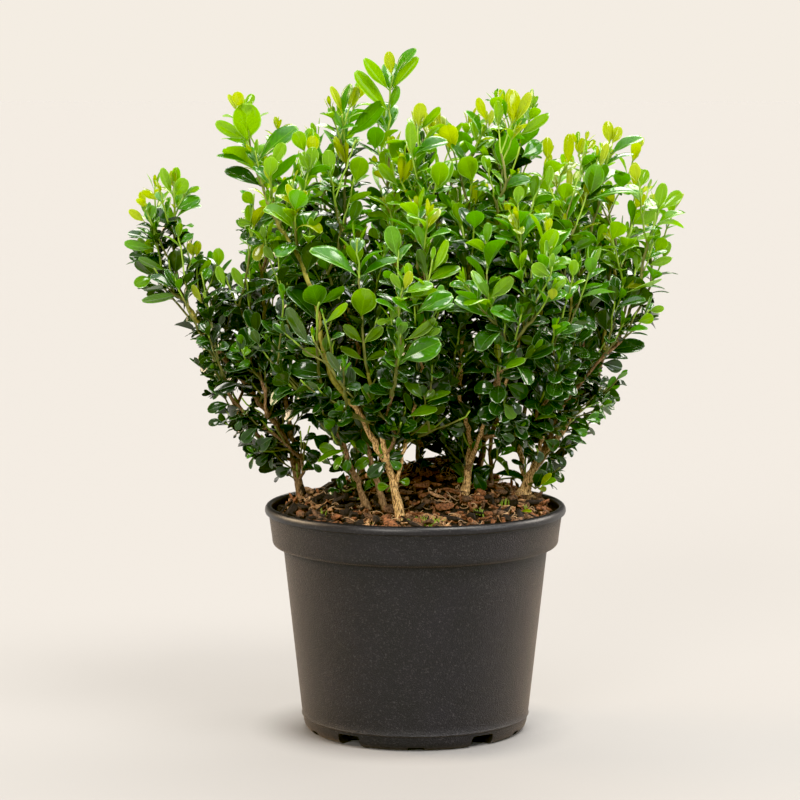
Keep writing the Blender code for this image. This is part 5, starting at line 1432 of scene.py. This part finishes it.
def lathe(name, profile, segments, materials):
    pts, faces, tris = [], [], []
    rings = []
    for r, z in profile:
        if r == 0:
            rings.append([len(pts)])
            pts.append((0, 0, z))
        else:
            start = len(pts)
            rings.append(list(range(start, start + segments)))
            for m in range(segments):
                a = 2 * math.pi * m / segments
                pts.append((r * math.sin(a), -r * math.cos(a), z))
    for low, high in zip(rings, rings[1:]):
        for m in range(segments):
            m2 = (m + 1) % segments
            if len(low) == 1:
                tris.append((low[0], high[m2], high[m]))
            elif len(high) == 1:
                tris.append((low[m], low[m2], high[0]))
            else:
                faces.append((low[m], low[m2], high[m2], high[m]))
    heights = np.array(pts)[np.array(faces)].mean(1)
    on_rim = (heights[:, 2] > 0.1379) & (np.hypot(heights[:, 0], heights[:, 1]) > 0.0904)
    return piece_from(name, pts, faces, on_rim.astype(int), materials, tris)


def pot_material(name, rim=False):
    mat, tree = nodes_of(name)
    link = tree.links.new
    out = tree.nodes.new("ShaderNodeOutputMaterial")
    place = tree.nodes.new("ShaderNodeTexCoord")
    shader = tree.nodes.new("ShaderNodeBsdfPrincipled")
    cloud = add(tree, "ShaderNodeTexNoise", Scale=38.0, Detail=5.0, Roughness=0.6)
    link(place.outputs["Object"], cloud.inputs["Vector"])
    speck = add(tree, "ShaderNodeTexNoise", Scale=900.0, Detail=2.0)
    link(place.outputs["Object"], speck.inputs["Vector"])
    dust = ramp(tree, cloud.outputs["Fac"], [(0.35, (0.0018, 0.0012, 0.0036)), (0.70, (0.0044, 0.0032, 0.0074))])
    fleck = ramp(tree, speck.outputs["Fac"], [(0.56, (0.0, 0.0, 0.0)), (0.80, (0.075, 0.068, 0.068))])
    both = add(tree, "ShaderNodeMix", _data_type="RGBA", _blend_type="ADD")
    both.inputs[0].default_value = 0.55
    link(dust.outputs["Color"], both.inputs[6])
    link(fleck.outputs["Color"], both.inputs[7])
    link(both.outputs[2], shader.inputs["Base Color"])
    gloss = add(tree, "ShaderNodeMapRange", _clamp=True)
    gloss.inputs["To Min"].default_value = 0.33 if rim else 0.42
    gloss.inputs["To Max"].default_value = 0.43 if rim else 0.54
    link(cloud.outputs["Fac"], gloss.inputs["Value"])
    link(gloss.outputs["Result"], shader.inputs["Roughness"])
    shader.inputs["Specular IOR Level"].default_value = 0.45 if rim else 0.34
    shader.inputs["Sheen Weight"].default_value = 0.0 if rim else 0.16
    shader.inputs["Sheen Roughness"].default_value = 0.35
    shader.inputs["Sheen Tint"].default_value = (1.0, 0.70, 0.44, 1.0)
    grain = add(tree, "ShaderNodeTexNoise", Scale=1500.0, Detail=2.0)
    link(place.outputs["Object"], grain.inputs["Vector"])
    relief = add(tree, "ShaderNodeBump", Strength=0.25 if rim else 0.85, Distance=0.0003 if rim else 0.0006)
    link(grain.outputs["Fac"], relief.inputs["Height"])
    link(relief.outputs["Normal"], shader.inputs["Normal"])
    link(shader.outputs[0], out.inputs["Surface"])
    return mat


pot = lathe("pot_shell", outer, SEGMENTS, [pot_material("pot_black"), pot_material("pot_rim_black", rim=True)])
slots_cut = []
for angle, width, height in ((0.0, 0.0100, 0.0022), (36.0, 0.0160, 0.0075), (64.0, 0.0075, 0.0038), (90.0, 0.0110, 0.0060)):
    for turn in {round(angle % 360, 2), round(-angle % 360, 2), round((180 - angle) % 360, 2), round((180 + angle) % 360, 2)}:
        slots_cut.append((turn, width, height))
helpers = []
for turn, width, height in sorted(slots_cut):
    corner = min(0.0014, height * 0.35)
    outline = [(-width / 2, -0.004), (width / 2, -0.004)]
    outline += [(width / 2 - corner + corner * math.cos(a), height - corner + corner * math.sin(a)) for a in np.linspace(0, math.pi / 2, 4)]
    outline += [(-width / 2 + corner - corner * math.sin(a), height - corner + corner * math.cos(a)) for a in np.linspace(0, math.pi / 2, 4)]
    mesh = bpy.data.meshes.new("slot")
    count = len(outline)
    pts = [(x, -0.0840, z) for x, z in outline] + [(x, -0.0585, z) for x, z in outline]
    faces = [tuple(range(count)), tuple(reversed(range(count, 2 * count)))]
    faces += [((m + 1) % count, m, m + count, (m + 1) % count + count) for m in range(count)]
    mesh.from_pydata(pts, [], faces)
    mesh.transform(Matrix.Rotation(math.radians(turn), 4, "Z"))
    helper = bpy.data.objects.new("slot", mesh)
    bpy.context.scene.collection.objects.link(helper)
    helpers.append(helper)
for m in range(8):
    a = 2 * math.pi * (m + 0.5) / 8
    mesh = bpy.data.meshes.new("hole")
    ring = [(0.004 * math.cos(b), 0.004 * math.sin(b)) for b in np.linspace(0, 2 * math.pi, 20, endpoint=False)]
    pts = [(x + 0.0445 * math.sin(a), y - 0.0445 * math.cos(a), -0.002) for x, y in ring]
    pts += [(x, y, 0.010) for x, y, _ in pts]
    faces = [tuple(reversed(range(20))), tuple(range(20, 40))] + [(b, (b + 1) % 20, (b + 1) % 20 + 20, b + 20) for b in range(20)]
    mesh.from_pydata(pts, [], faces)
    helper = bpy.data.objects.new("hole", mesh)
    bpy.context.scene.collection.objects.link(helper)
    helpers.append(helper)
for helper in helpers:
    cut = pot.modifiers.new("cut", "BOOLEAN")
    cut.operation, cut.solver, cut.object = "DIFFERENCE", "EXACT", helper
graph = bpy.context.evaluated_depsgraph_get()
cut_mesh = bpy.data.meshes.new_from_object(pot.evaluated_get(graph))
pot.modifiers.clear()
pot.data = cut_mesh
cut_mesh.shade_smooth()
cut_mesh.set_sharp_from_angle(angle=math.radians(38))
for helper in helpers:
    bpy.data.objects.remove(helper, do_unlink=True)
pieces["pot_shell"] = pot

# ------------------------------------------------------------------ what rides, what stands for what
nodes = list(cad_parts)
stems_nodes = [n for n in nodes if n.startswith(("stem_", "bough_"))]
tip_nodes = [n for n in nodes if n.startswith("foliage") and n.endswith("tip")]
foliage = [n for n in nodes if n.startswith("foliage") and not n.endswith("tip")]
top_nodes = [n for n in foliage if MASSES[n][0][2] >= 0.28]
low_nodes = [n for n in foliage if MASSES[n][0][2] < 0.28]
for name, obj in pieces.items():
    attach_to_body(obj, "root")
    if name.startswith("leaves_tip"):
        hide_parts(*tip_nodes)
    elif name.startswith("leaves_bright"):
        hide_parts(*top_nodes)
    elif name.startswith("leaves"):
        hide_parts(*low_nodes)
    elif name in ("stems", "twigs"):
        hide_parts(*stems_nodes)
    elif name == "pot_shell":
        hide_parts("pot")
    else:
        if name == "potting_mix_top":
            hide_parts("potting_mix")

# ------------------------------------------------------------------ floor, light, camera
CREAM = (0.905, 0.847, 0.768)
floor_mat, tree = nodes_of("floor_pale")
out = tree.nodes.new("ShaderNodeOutputMaterial")
shader = tree.nodes.new("ShaderNodeBsdfPrincipled")
shader.inputs["Roughness"].default_value = 0.95
shader.inputs["Specular IOR Level"].default_value = 0.0
haze = add(tree, "ShaderNodeTexNoise", Scale=3.0, Detail=2.0)
FLOOR_TONE = (0.11405, 0.1105, 0.11195)
tone = ramp(tree, haze.outputs["Fac"], [(0.3, tuple(0.995 * c for c in FLOOR_TONE)), (0.7, FLOOR_TONE)])
# half of the open floor's brightness is its own, which softens the shadow; under the pot it has none, so the foot slots stay dark
place = add(tree, "ShaderNodeNewGeometry")
reach = add(tree, "ShaderNodeVectorMath", _operation="LENGTH")
tree.links.new(place.outputs["Position"], reach.inputs[0])
glow = add(tree, "ShaderNodeMapRange", _interpolation_type="SMOOTHSTEP", From0Min=0.072, From0Max=0.110, To0Min=0.0, To0Max=0.5)
tree.links.new(reach.outputs["Value"], glow.inputs["Value"])
rest = add(tree, "ShaderNodeMath", _operation="MULTIPLY_ADD")
rest.inputs[1].default_value = -2.0
rest.inputs[2].default_value = 2.0
tree.links.new(glow.outputs["Result"], rest.inputs[0])
base = add(tree, "ShaderNodeVectorMath", _operation="SCALE")
tree.links.new(tone.outputs["Color"], base.inputs[0])
tree.links.new(rest.outputs[0], base.inputs["Scale"])
tree.links.new(base.outputs[0], shader.inputs["Base Color"])
shader.inputs["Emission Color"].default_value = (*CREAM, 1.0)
tree.links.new(glow.outputs["Result"], shader.inputs["Emission Strength"])
tree.links.new(shader.outputs[0], out.inputs["Surface"])
floor = piece_from("floor", [(-30, -30, 0), (30, -30, 0), (30, 30, 0), (-30, 30, 0)], [(0, 1, 2, 3)], None, [floor_mat])

world = bpy.data.worlds.new("studio")
bpy.context.scene.world = world
world.use_nodes = True
tree = world.node_tree
tree.nodes.clear()
out = tree.nodes.new("ShaderNodeOutputWorld")
background = tree.nodes.new("ShaderNodeBackground")
place = tree.nodes.new("ShaderNodeTexCoord")
parts = tree.nodes.new("ShaderNodeSeparateXYZ")
tree.links.new(place.outputs["Generated"], parts.inputs[0])
sky = ramp(
    tree, parts.outputs["Z"],
    [(0.0, CREAM), (0.05, CREAM), (0.12, (0.11, 0.105, 0.090)), (0.62, (0.14, 0.135, 0.120)), (0.80, (0.70, 0.69, 0.63)), (0.93, (2.3, 2.4, 2.45))],
)
tree.links.new(sky.outputs["Color"], background.inputs["Color"])
tree.links.new(background.outputs[0], out.inputs["Surface"])


def sun(name, azimuth, elevation, strength, colour, spread):
    """A broad distant light. Azimuth 0 is the front, 90 the right, 180 the back."""
    data = bpy.data.lights.new(name, "SUN")
    data.energy, data.color, data.angle = strength, colour, math.radians(spread)
    obj = bpy.data.objects.new(name, data)
    a, e = math.radians(azimuth), math.radians(elevation)
    back = Vector((math.sin(a) * math.cos(e), -math.cos(a) * math.cos(e), math.sin(e)))
    obj.rotation_mode = "QUATERNION"
    obj.rotation_quaternion = back.to_track_quat("Z", "Y")
    bpy.context.scene.collection.objects.link(obj)
    return obj


sun("key", 42, 58, 3.5, (1.0, 0.97, 0.88), 27)
sun("behind", 172, 54, 4.2, (1.0, 0.98, 0.88), 38)
sun("front", 338, 25, 2.3, (1.0, 0.96, 0.88), 22)
sun("fill", 60, 20, 1.1, (0.94, 0.97, 1.0), 22)
sun("side", 112, 24, 2.4, (1.0, 0.92, 0.82), 30)
sun("left", 252, 24, 3.2, (1.0, 0.76, 0.50), 30)

camera = bpy.data.cameras.new("camera")
camera.sensor_width, camera.lens = 36.0, 129.6
camera_obj = bpy.data.objects.new("camera", camera)
camera_obj.location = EYE
camera_obj.rotation_euler = (math.pi / 2 - TILT, 0, 0)
bpy.context.scene.collection.objects.link(camera_obj)
bpy.context.scene.camera = camera_obj
view = bpy.context.scene.view_settings
view.view_transform = "Standard"
view.use_curve_mapping = True
view.curve_mapping.black_level = (0.0035, 0.003, 0.007)
view.curve_mapping.update()
